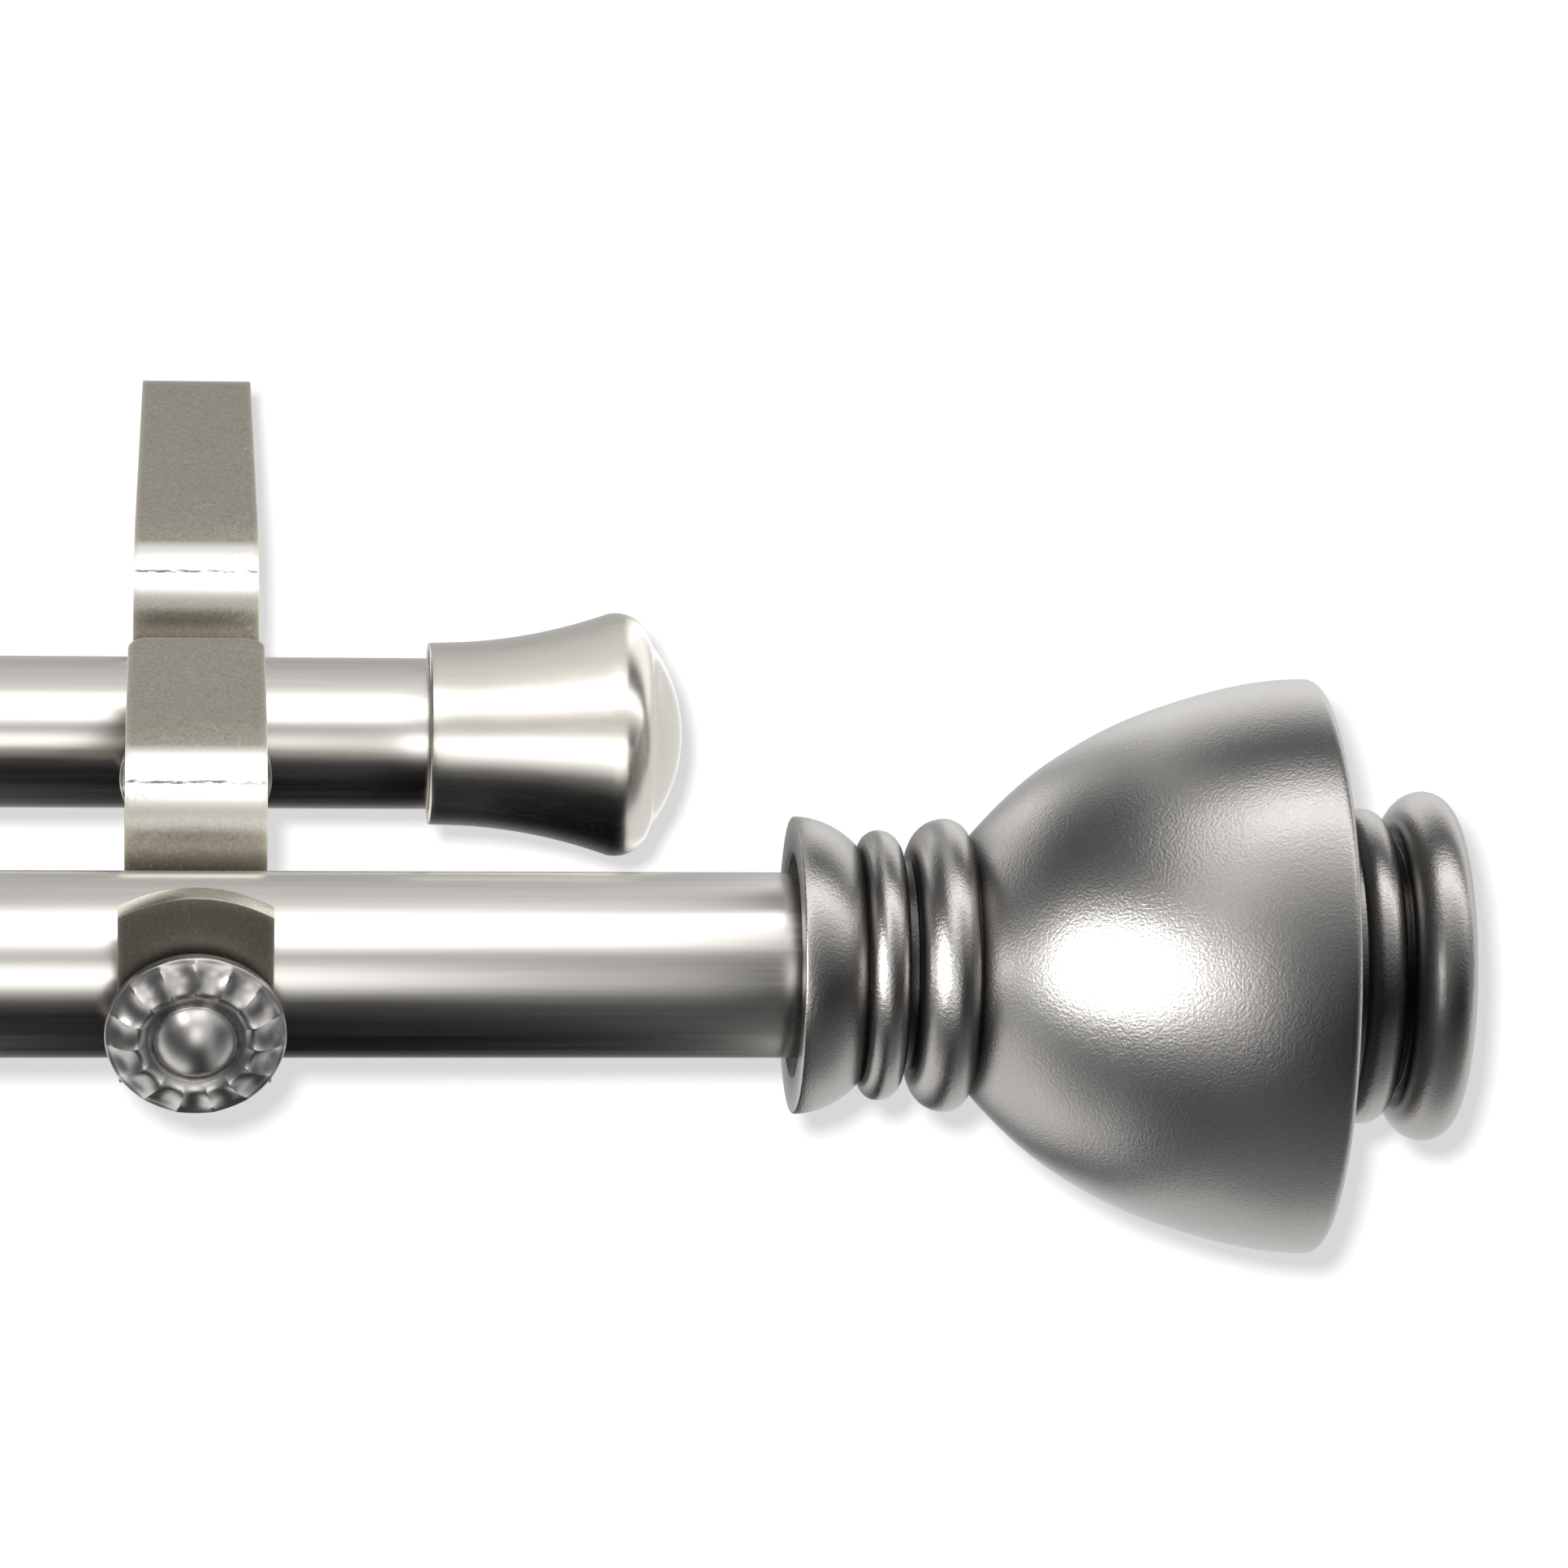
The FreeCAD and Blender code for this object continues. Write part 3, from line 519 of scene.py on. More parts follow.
def shade(colour, factor):
    """The colour made darker or lighter."""
    return (colour[0] * factor, colour[1] * factor, colour[2] * factor, 1)


def dress(tree, shader, colour, roughness, metallic=1.0):
    """Gives the shader its colour and its roughness, and sets how metallic it is."""
    feed(tree, colour, shader.inputs["Base Color"])
    feed(tree, roughness, shader.inputs["Roughness"])
    shader.inputs["Metallic"].default_value = metallic


def bump(tree, shader, height, strength, distance):
    """Roughens the shader's surface by a height."""
    node = add(tree, "ShaderNodeBump", in_Strength=strength, in_Distance=distance, in_Height=height)
    feed(tree, node.outputs["Normal"], shader.inputs["Normal"])


def drawn_nickel(name, colour, roughness, streak):
    """Satin nickel with drawn streaks along X."""
    material, tree, shader = new_material(name)
    streaks = use_group(tree, streaks_group, Scale=900.0, Amount=1.0)
    low, high = shade(colour, 1 - 0.06 * streak), shade(colour, 1 + 0.05 * streak)
    rough = spread(tree, streaks["Mask"], 0, 1, roughness - 0.03 * streak, roughness + 0.04 * streak)
    dress(tree, shader, mix_colour(tree, streaks["Mask"], low, high), rough)
    bump(tree, shader, streaks["Height"], strength=0.12 * streak, distance=0.04 * MM)
    return material


# Where a strip's finish changes along it, by its turn, which goes from 0 to 1 over one bend and back over the next:
# the painted highlight on the bends, the painted shade on the uprights, the crease across each bend and the painted
# highlight on the rounded corners
BEND_HIGHLIGHT_STARTS = (0.23, 0.29)
BEND_HIGHLIGHT_ENDS = (0.57, 0.76)
BEND_HIGHLIGHT_COLOUR = (0.80, 0.78, 0.74, 1)
SHADED_UPRIGHT_TURN = (0.66, 1.0)
SHADED_UPRIGHT_TILT = (0.4, 0.8)
CREASE_TURN = 0.475
CREASE_WIDTH = (0.004, 0.018)
CREASE_WANDER = 0.03
CREASE_SPECKLE = (0.36, 0.56)
CORNER_HIGHLIGHT_RADIUS = 0.4 * MM
CORNER_HIGHLIGHT_MATCH = (0.80, 0.97)


def strip_crease(tree, turn):
    """A broken line of cracks across each bend, as a mask."""
    speckle = object_noise(tree, 2600.0, detail=3.0, roughness=0.6, stretch=(0.3, 1, 1), offset=(1, 6, 2))
    wander = times(tree, math_node(tree, "SUBTRACT", object_noise(tree, 300.0), 0.5), CREASE_WANDER)
    off_line = math_node(tree, "ABSOLUTE", plus(tree, math_node(tree, "SUBTRACT", turn, CREASE_TURN), wander))
    return times(tree, spread(tree, speckle, *CREASE_SPECKLE), spread(tree, off_line, *CREASE_WIDTH, 1, 0))


def corner_highlight(tree, normal):
    """A mask of the rounded corners, which are painted bright as a highlight, found by rounding the surface."""
    rounded = add(tree, "ShaderNodeBevel", samples=4, in_Radius=CORNER_HIGHLIGHT_RADIUS).outputs["Normal"]
    match = add(tree, "ShaderNodeVectorMath", operation="DOT_PRODUCT")
    feed(tree, rounded, match.inputs[0])
    feed(tree, normal, match.inputs[1])
    return spread(tree, match.outputs["Value"], *CORNER_HIGHLIGHT_MATCH, 1, 0)


def strip_nickel(name, colour):
    """Satin nickel of the bent strips: fine grain and scratches, creased bends, scuffs near the edges, painted
    highlights on the bends, edges and corners, and painted shade on the uprights.
    """
    material, tree, shader = new_material(name)
    edge, turn = attribute(tree, "edge"), attribute(tree, "turn")
    # Painted highlight: the middle of each bend is made near white
    bend_highlight = times(tree, spread(tree, turn, *BEND_HIGHLIGHT_STARTS), spread(tree, turn, *BEND_HIGHLIGHT_ENDS, 1, 0))
    normal = add(tree, "ShaderNodeNewGeometry").outputs["Normal"]
    tilt = math_node(tree, "ABSOLUTE", add(tree, "ShaderNodeSeparateXYZ", in_Vector=normal).outputs["Z"])
    # Painted shade: the uprights are darkened
    shaded_upright = times(tree, spread(tree, turn, *SHADED_UPRIGHT_TURN), spread(tree, tilt, *SHADED_UPRIGHT_TILT, 1, 0))
    wear = use_group(tree, wear_group, Edge=edge, Amount=0.8)
    fine = object_noise(tree, 2300.0, detail=3.0, roughness=0.7, offset=(3, 3, 3))
    crease = strip_crease(tree, turn)
    tone = mix_colour(tree, spread(tree, fine, 0.3, 0.7), shade(colour, 0.78), shade(colour, 1.2))
    # Painted highlights: the long edges and the rounded corners are made brighter
    layers = ((times(tree, shaded_upright, 0.3), shade(colour, 0.2)), (bend_highlight, BEND_HIGHLIGHT_COLOUR),
              (wear["Scratches"], shade(colour, 1.45)), (crease, shade(colour, 0.28)),
              (times(tree, edge, 0.6), shade(colour, 1.5)), (corner_highlight(tree, normal), shade(colour, 2.2)))
    for mask, over in layers:
        tone = mix_colour(tree, mask, tone, over)
    dress(tree, shader, tone, plus(tree, spread(tree, wear["Mask"], 0, 1, 0.28, 0.36), times(tree, shaded_upright, 0.22)))
    bump(tree, shader, plus(tree, fine, times(tree, crease, -1.5)), strength=0.12, distance=0.05 * MM)
    return material


def knob_nickel(name, colour):
    """Darkened nickel polished on its high parts, with painted shade, broken up in blotches, in the low ones."""
    material, tree, shader = new_material(name)
    low = attribute(tree, "hollow")
    wear = use_group(tree, wear_group, Edge=0.2, Amount=0.5)
    blotch = object_noise(tree, 500.0, detail=4.0, roughness=0.6, offset=(2, 7, 1))
    # Painted shade in the flutes and the groove ring, broken up in blotches
    blotched_shade = times(tree, low, spread(tree, blotch, 0.25, 0.6))
    tone = mix_colour(tree, blotched_shade, shade(colour, 1.15), shade(colour, 0.20))
    tone = mix_colour(tree, wear["Scratches"], tone, shade(colour, 1.4))
    dress(tree, shader, tone, plus(tree, spread(tree, low, 0, 1, 0.34, 0.42), times(tree, wear["Mask"], 0.1)))
    bump(tree, shader, object_noise(tree, 900.0, detail=3.0, roughness=0.6), strength=0.10, distance=0.08 * MM)
    return material


def finial_paint(name, colour):
    """Dark silver metallic paint with a fine orange peel, and painted shade in the hollows of the mouldings."""
    material, tree, shader = new_material(name)
    grain = use_group(tree, grain_group, Scale=2800.0, Sparkle=0.3)
    tone = mix_colour(tree, grain["Mask"], shade(colour, 0.94), shade(colour, 1.05))
    tone = mix_colour(tree, grain["Sparkle"], tone, shade(colour, 1.9))
    # Painted shade: the paint is darkened in the hollows of the mouldings
    tone = mix_colour(tree, attribute(tree, "hollow"), tone, shade(colour, 0.16))
    dress(tree, shader, tone, spread(tree, grain["Sparkle"], 0, 1, 0.305, 0.24))
    bump(tree, shader, grain["Height"], strength=0.42, distance=0.12 * MM)
    return material


def plain_metal(name, colour, roughness):
    """Turned or plated metal inside the part."""
    material, tree, shader = new_material(name)
    noise = object_noise(tree, 700.0, detail=3.0, roughness=0.6, stretch=(0.2, 1, 1))
    dress(tree, shader, mix_colour(tree, noise, shade(colour, 0.85), shade(colour, 1.1)),
          spread(tree, noise, 0.3, 0.7, roughness - 0.05, roughness + 0.08))
    return material


def moulded_plastic(name, colour):
    """Black moulded plastic with a faint texture."""
    material, tree, shader = new_material(name)
    noise = object_noise(tree, 1200.0, detail=4.0, roughness=0.6)
    dress(tree, shader, mix_colour(tree, noise, shade(colour, 0.8), shade(colour, 1.3)),
          spread(tree, noise, 0.3, 0.7, 0.45, 0.6), metallic=0.0)
    bump(tree, shader, noise, strength=0.2, distance=0.05 * MM)
    return material


MATERIALS = {}


def material(name):
    """The named finish, built the first time that it is asked for."""
    if name not in MATERIALS:
        finish = settings("finish")
        makers = {
            "pole": lambda: drawn_nickel("Pole Nickel", finish.pole, roughness=0.24, streak=1.0),
            "cap": lambda: drawn_nickel("Cap Nickel", finish.cap, roughness=0.26, streak=0.5),
            "bracket": lambda: strip_nickel("Strip Nickel", finish.bracket),
            "knob": lambda: knob_nickel("Knob Nickel", finish.knob),
            "finial": lambda: finial_paint("Finial Paint", finish.finial),
            "steel": lambda: plain_metal("Plated Steel", (0.62, 0.62, 0.62), roughness=0.3),
            "brass": lambda: plain_metal("Turned Brass", (0.72, 0.58, 0.32), roughness=0.3),
            "plastic": lambda: moulded_plastic("Moulded Plastic", (0.03, 0.03, 0.03)),
        }
        MATERIALS[name] = makers[name]()
    return MATERIALS[name]


# Poles

POLE_EDGE = 0.15 * MM
MOUTH_GAP = 0.1 * MM


def tube(node, axis, bore_radius, guide_radius=None):
    """A drawn tube, with its left mouth rolled in to the guide radius if one is given."""
    size = settings("pole")
    left, right, outer = axis.left, axis.right, axis.radius
    start = [(left, outer), (left, bore_radius)]
    if guide_radius:
        edge = min(size.wall, outer - guide_radius)
        half = left + size.roll / 2
        start = [(half, outer)] + level_arc((half, outer), (left, guide_radius + edge), 5)[1:]
        start += [(left, guide_radius), (half, guide_radius), (left + size.roll, bore_radius)]
    profile = start + [(right, bore_radius), (right, outer)]
    obj = lathe(node.replace("_tube", "_pole"), softened(profile, POLE_EDGE), Vector((0, axis.y, axis.z)),
                segments=size.segments)
    show(obj, body_of_node(node), node, material("pole"))


class CP_OT_poles(bpy.types.Operator):
    """Builds the four tubes of the two telescoping poles"""

    bl_idname = "curtain_pole.poles"
    bl_label = "Poles"

    def execute(self, context):
        wall = settings("pole").wall
        for name in ("front", "back"):
            outer, inner = Axis(f"{name}_outer_tube"), Axis(f"{name}_inner_tube")
            tube(f"{name}_outer_tube", outer, outer.radius - wall, inner.radius + MOUTH_GAP)
            tube(f"{name}_inner_tube", inner, inner.radius - wall)
        return {"FINISHED"}


# Turned pieces

TURNED_SEGMENTS = 144
TURNED_SHARP = 40


def turned_end(name, side, node, outline):
    """A piece turned to its outline in millimetres, from its mouth outwards along its pole."""
    axis = Axis(node)
    mouth = axis.left if side == "right" else axis.right
    return lathe(name, in_metres(outline), Vector((mouth, axis.y, axis.z)), Vector((FACING[side], 0, 0)),
                 TURNED_SEGMENTS, sharp_angle=TURNED_SHARP)


# Finials, in millimetres: places are (distance from the socket's mouth, radius)

FINIAL_COLLAR = ((0.0, 17.6), (8.0, 13.65))
FINIAL_SMALL_BEAD = ((8.0, 13.65), (10.2, 16.0), (12.6, 12.35))
FINIAL_LARGE_BEAD = ((14.0, 12.35), (18.1, 17.4), (20.9, 15.0))
FINIAL_BELL = ((20.9, 15.0), (27.72, 21.83), (35.3, 26.92), (46.8, 31.7), (61.0, 34.2))
FINIAL_BELL_SLOPES = (1.15, 0.0)
FINIAL_FACE = 62.3
FINIAL_DISH = 2.2
FINIAL_STEM_R = 15.2
FINIAL_STEP = (63.8, 17.4)
FINIAL_OUTER_BEAD = ((66.0, 17.4), (68.1, 18.8), (70.6, 14.8))
FINIAL_BUTTON = ((72.2, 14.8), (75.6, 20.85), (78.8, 17.4))
FINIAL_END = 80.3
FINIAL_SOCKET = ((29.3, 0.0), (29.3, 3.02), (27.3, 3.02), (27.3, 4.77), (13.3, 4.77), (13.3, 11.3), (6.0, 11.3),
                 (0.0, 13.3))
FINIAL_EDGE = 0.35

# Painted shade darkens the paint in the hollows outside the socket: how far off a moulding still makes one,
# how deep a full one is, and how the painted shade grows with the depth
FINIAL_SOCKET_R = 12.0
HOLLOW_REACH = 5.5
HOLLOW_FULL = 2.4
HOLLOW_POWER = 1.5
HOLLOW_SHADE = 0.95


def finial_profile():
    """The finial's outline from the socket's mouth, over its tip and back through the socket."""
    rim = FINIAL_BELL[-1]
    edge_r = rim[1] - (FINIAL_FACE - rim[0])
    dish_r = edge_r - FINIAL_DISH
    points = level_arc(*FINIAL_COLLAR)
    points += bead(*FINIAL_SMALL_BEAD)[1:] + bead(*FINIAL_LARGE_BEAD)
    points += smooth_curve(FINIAL_BELL, 10, *FINIAL_BELL_SLOPES)[1:] + level_arc(rim, (FINIAL_FACE, edge_r), 6)[1:]
    points += [(FINIAL_FACE, dish_r)]
    points += eased((FINIAL_FACE, dish_r), (FINIAL_FACE - FINIAL_DISH, FINIAL_STEM_R), 12, ease_out)
    points += [(FINIAL_STEP[0], FINIAL_STEM_R), FINIAL_STEP]
    points += bead(*FINIAL_OUTER_BEAD) + bead(*FINIAL_BUTTON)
    return points + domed_end(FINIAL_BUTTON[-1], FINIAL_END)[1:] + list(FINIAL_SOCKET)


def hollow_shade(profile, distance, radius):
    """How dark the painted shade makes the paint at a point, by how deep it lies between the mouldings on its two
    sides.
    """
    if radius <= FINIAL_SOCKET_R:
        return 0.0
    before = max(r for x, r in profile if distance - HOLLOW_REACH <= x <= distance)
    after = max(r for x, r in profile if distance <= x <= distance + HOLLOW_REACH)
    depth = max(0.0, min(before, after) - radius)
    return min(1.0, depth / HOLLOW_FULL) ** HOLLOW_POWER * HOLLOW_SHADE


class CP_OT_finials(bpy.types.Operator):
    """Builds the two turned urn finials"""

    bl_idname = "curtain_pole.finials"
    bl_label = "Finials"

    def execute(self, context):
        outline = softened(finial_profile(), FINIAL_EDGE)
        shades = []
        for distance, radius in outline:
            points = 1 if radius < ON_AXIS else TURNED_SEGMENTS
            shades += [hollow_shade(outline, distance, radius)] * points
        for side in SIDES:
            node = f"{side}_finial"
            obj = turned_end(f"{side}_urn_finial", side, node, outline)
            # Marks the painted shade of the hollows
            mark(obj, "hollow", shades)
            show(obj, body_of_node(node), node, material("finial"))
        return {"FINISHED"}


# End caps, in millimetres: places are (distance from the mouth, radius)

CAP_BELL = ((0.0, 11.4), (6.6, 11.7), (13.0, 12.6), (19.5, 14.2), (22.6, 15.2))
CAP_EDGE = (23.6, 15.3)
CAP_SHOULDER = (28.0, 11.7)
CAP_END = 32.0
CAP_WALL = 1.0
CAP_ROUNDING = 0.3


def cap_profile():
    """The spun cap's outline from its mouth, outside then inside."""
    outside = smooth_curve(CAP_BELL, 8) + level_arc(CAP_EDGE, CAP_BELL[-1], 4)[::-1][1:]
    outside += level_arc(CAP_EDGE, CAP_SHOULDER, 10)[1:] + domed_end(CAP_SHOULDER, CAP_END)[1:]
    inside = [(x, r - CAP_WALL) for x, r in smooth_curve(CAP_BELL, 4)]
    shoulder = (CAP_SHOULDER[0] - CAP_WALL, CAP_SHOULDER[1] - CAP_WALL)
    inside += [shoulder] + domed_end(shoulder, CAP_END - CAP_WALL, 6)[1:]
    return outside + inside[::-1]


class CP_OT_end_caps(bpy.types.Operator):
    """Builds the two flared caps of the back pole"""

    bl_idname = "curtain_pole.end_caps"
    bl_label = "End caps"

    def execute(self, context):
        outline = softened(cap_profile(), CAP_ROUNDING)
        for side in SIDES:
            node = f"{side}_end_cap"
            obj = turned_end(f"{side}_flared_cap", side, node, outline)
            show(obj, body_of_node(node), node, material("cap"))
        return {"FINISHED"}


# Brackets

# How far from its end a strip's points move in to the end's outline
STRIP_END = 8 * MM


def strip_line(corners, radii, arc_steps=24, run_step=1.6 * MM, rising=True):
    """Points (y, z) and turns along a strip's centre line of runs and tangent arcs.
    The turn goes from 0 to 1 over one bend and back to 0 over the next."""
    points = [Vector((y, z)) for y, z in corners]
    line = []

    def run(a, b, turned, include_end=False):
        count = max(1, math.ceil((b - a).length / run_step))
        for i in range(count + include_end):
            line.append((a.lerp(b, i / count), turned))

    start = points[0]
    for before, corner, after, radius in zip(points, points[1:], points[2:], radii):
        into, out = (corner - before).normalized(), (after - corner).normalized()
        turn = into.angle(out)
        reach = radius * math.tan(turn / 2)
        centre = corner + (out - into).normalized() * (radius / math.cos(turn / 2))
        first = corner - into * reach
        if (first - start).length > 1e-6:
            run(start, first, 0.0 if rising else 1.0)
        side = 1 if into.x * out.y - into.y * out.x > 0 else -1
        for i in range(arc_steps):
            share = i / arc_steps
            place = centre + Matrix.Rotation(side * turn * share, 2) @ (first - centre)
            line.append((place, share if rising else 1 - share))
        start = corner + out * reach
        rising = not rising
    run(start, points[-1], 0.0 if rising else 1.0, include_end=True)
    return line


def strip_tangent(line, i):
    a, b = line[max(i - 1, 0)][0], line[min(i + 1, len(line) - 1)][0]
    return (b - a).normalized()


def strip_mesh(name, line, x, width_at, start_trim, end_trim, size, columns=28):
    """A strip of the given width along the line. Near each end its points move in to the trimmed outline."""
    lengths = [0.0]
    for (a, _), (b, _) in zip(line, line[1:]):
        lengths.append(lengths[-1] + (b - a).length)
    verts, turns = [], []
    for i, (centre, turn) in enumerate(line):
        half = width_at(centre.x) / 2
        ends = ((start_trim, lengths[i], 1), (end_trim, lengths[-1] - lengths[i], -1))
        for c in range(columns + 1):
            u = math.sin(math.pi / 2 * (2 * c / columns - 1))
            place = centre.copy()
            for trim, distance, sign in ends:
                if distance < STRIP_END:
                    shift = trim(u * half, half) * (1 - distance / STRIP_END)
                    place += sign * strip_tangent(line, i) * shift
            verts.append((x + u * half, place.x, place.y))
            turns.append(turn)
    row = columns + 1
    faces = [(i * row + c, i * row + c + 1, (i + 1) * row + c + 1, (i + 1) * row + c)
             for i in range(len(line) - 1) for c in range(columns)]
    obj = new_object(name, verts, faces)
    mark(obj, "turn", turns)
    solid = obj.modifiers.new("Thickness", "SOLIDIFY")
    solid.thickness = size.thickness
    solid.offset = 0
    solid.use_even_offset = True
    return obj


def drill(obj, place, radius, depth):
    """Cuts a round hole along Y through a piece, and returns the cutter, which settle removes."""
    cutter = lathe("cutter", [(-depth, 0), (-depth, radius), (depth, radius), (depth, 0)], place,
                   Vector((0, 1, 0)), segments=48)
    cut = obj.modifiers.new("Hole", "BOOLEAN")
    cut.object = cutter
    cut.solver = "EXACT"
    return cutter


def settle(obj, cutters, size, width_at):
    """Applies the modifiers, softens the edges and marks how near each point is to a long edge."""
    soften = obj.modifiers.new("Soft Edges", "BEVEL")
    soften.width = size.edge
    soften.segments = 3
    soften.limit_method = "ANGLE"
    soften.angle_limit = math.radians(45)
    bpy.context.view_layer.update()
    mesh = bpy.data.meshes.new_from_object(obj.evaluated_get(bpy.context.evaluated_depsgraph_get()))
    obj.modifiers.clear()
    obj.data = mesh
    for cutter in cutters:
        bpy.data.objects.remove(cutter)
    finish_shading(mesh, 50)
    centre = sum(v.co.x for v in mesh.vertices) / len(mesh.vertices)
    near = [max(0.0, 1 - (width_at(v.co.y) / 2 - abs(v.co.x - centre)) / (2 * size.edge)) for v in mesh.vertices]
    mark(obj, "edge", near)


def half_round(x, half):
    """How far a half-round end is set back at x."""
    return half - math.sqrt(max(0.0, half * half - x * x))


def square_end(x, half):
    return 0.0


def rear_strip(side):
    """Wall flange, arm, back cradle and the tab under the front strip."""
    size = settings("bracket")
    node = f"{side}_rear_arm"
    low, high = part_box(node)
    half = size.thickness / 2
    cradle = BACK_POLE.radius + size.cradle_gap + half
    rear_y, lip_y, flat_z = BACK_POLE.y + cradle, BACK_POLE.y - cradle, high.z - half
    bottom_z, tab_z = BACK_POLE.z - cradle, flat_z - size.thickness
    corners = [(-half, low.z), (-half, flat_z), (rear_y, flat_z), (rear_y, bottom_z), (lip_y, bottom_z),
               (lip_y, tab_z), (lip_y - size.tab, tab_z)]
    radii = [size.wall_bend - half, size.rear_bend - half, cradle, cradle, size.tight_bend - half]
    full = high.x - low.x

    def width_at(y):
        share = min(1.0, max(0.0, y / rear_y))
        return size.wall_width + (full - size.wall_width) * share

    x = BRACKET_X[side]
    line = strip_line(corners, radii, rising=False)
    obj = strip_mesh(f"{side}_rear_strip", line, x, width_at, half_round, square_end, size)
    cutters = [drill(obj, Vector((x, 0, z)), size.hole / 2, 4 * size.thickness)
               for z in (-size.hole_spacing / 2, size.hole_spacing / 2)]
    screw, _, _ = screw_seat(f"{side}_back_screw")
    cutters.append(drill(obj, Vector((x, lip_y, screw.z)), size.screw_hole / 2, size.thickness))
    settle(obj, cutters, size, width_at)
    show(obj, "root", node, material("bracket"))


def front_strip(side):
    """Flat, front cradle and the lip with an arched top."""
    size = settings("bracket")
    node = f"{side}_front_arm"
    low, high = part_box(node)
    half = size.thickness / 2
    cradle = FRONT_POLE.radius + size.cradle_gap + half
    start_y = BACK_POLE.y - BACK_POLE.radius - size.cradle_gap - size.setback
    rear_y, lip_y, flat_z = FRONT_POLE.y + cradle + size.slack, FRONT_POLE.y - cradle, high.z - half
    bottom_z, top_z = FRONT_POLE.z - cradle, FRONT_POLE.z + size.lip_rise
    corners = [(start_y, flat_z), (rear_y, flat_z), (rear_y, bottom_z), (lip_y, bottom_z), (lip_y, top_z)]
    radii = [size.front_bend - half, cradle, cradle]
    full = high.x - low.x

    def width_at(y):
        if y > rear_y:
            return size.arm_width - size.arm_taper * min(1.0, (y - rear_y) / (start_y - rear_y))
        return size.arm_width + (full - size.arm_width) * min(1.0, (rear_y - y) / (rear_y - lip_y))

    def rounded(x, half_width):
        past = max(0.0, abs(x) - (half_width - size.corner))
        return size.corner - math.sqrt(max(0.0, size.corner ** 2 - past ** 2))

    def arched(x, half_width):
        return size.crown * (x / half_width) ** 2

    x = BRACKET_X[side]
    obj = strip_mesh(f"{side}_front_strip", strip_line(corners, radii), x, width_at, rounded, arched, size)
    screw, _, _ = screw_seat(f"{side}_front_screw")
    cutters = [drill(obj, Vector((x, lip_y, screw.z)), size.screw_hole / 2, size.thickness)]
    settle(obj, cutters, size, width_at)
    show(obj, "root", node, material("bracket"))


class CP_OT_brackets(bpy.types.Operator):
    """Builds the two bent strips of each wall bracket"""

    bl_idname = "curtain_pole.brackets"
    bl_label = "Brackets"

    def execute(self, context):
        for side in SIDES:
            rear_strip(side)
            front_strip(side)
        return {"FINISHED"}


# Thumb screws

# How high the rim stands above the back face and the crown above the rim, how deep the groove is below the crown,
# and how far the rim is rounded
KNOB_RIM = 1.5 * MM
KNOB_RISE = 1.7 * MM
KNOB_MOAT = 0.9 * MM
KNOB_EDGE = 0.35 * MM

# The rounded foot of the dome, from the moat up, in millimetres: (distance from its top, how far it stands out)
KNOB_DOME_FOOT = ((-0.45, 0.10), (-0.10, 0.02), (0.0, -0.12), (0.0, -0.20))

# The flutes start this far from the back face, with a share of their depth at the rim, and come to their full
# depth and run out over shares of the way from the rim in to the groove
FLUTE_START = 1.0 * MM
FLUTE_RIM_DEPTH = 0.15
FLUTE_DEEPENS = 0.4
FLUTE_RUNS_OUT = 0.75
FLUTE_FACETS = 20

# Painted shade lies in the flutes and in a ring inside the groove
FLUTE_SHADE = 0.35
SHADE_RING_INSET = 0.3 * MM
SHADE_RING_WIDTH = 0.8 * MM

# Shares of the thread's pitch or of the shaft's radius
THREAD_DEPTH = 0.55
THREAD_FROM = 0.8
SHAFT_TIP = 0.7
THREAD_RUN_IN = 0.82


def knob_profile(size, depth, radius):
    """The knob's outline as (distance from its back face, radius), from the back's middle over the rim to the tip."""
    crown = KNOB_RIM + KNOB_RISE
    groove = crown - KNOB_MOAT
    crown_r, groove_r, dome_r = size.crown / 2, size.groove / 2, size.dome / 2
    flat_r = radius - KNOB_EDGE
    turns = [math.pi / 8 * i for i in range(1, 5)]
    points = [(0.0, 0.0), (0.0, flat_r)]
    points += [(KNOB_EDGE * (1 - math.cos(t)), flat_r + KNOB_EDGE * math.sin(t)) for t in turns]
    points += [(KNOB_RIM - KNOB_EDGE, radius)]
    points += [(KNOB_RIM - KNOB_EDGE * (1 - math.sin(t)), radius - KNOB_EDGE * (1 - math.cos(t))) for t in turns]
    points += eased((KNOB_RIM, flat_r), (crown, crown_r), 10, ease_out)
    points += eased((crown, crown_r), (groove, groove_r), 8, ease_in)
    top = groove - KNOB_DOME_FOOT[0][0] * MM
    foot = [(top + distance * MM, dome_r + out * MM) for distance, out in KNOB_DOME_FOOT]
    return points + foot[:-1] + domed_end(foot[-1], depth)


def smooth_step(t):
    t = min(1.0, max(0.0, t))
    return t * t * (3 - 2 * t)


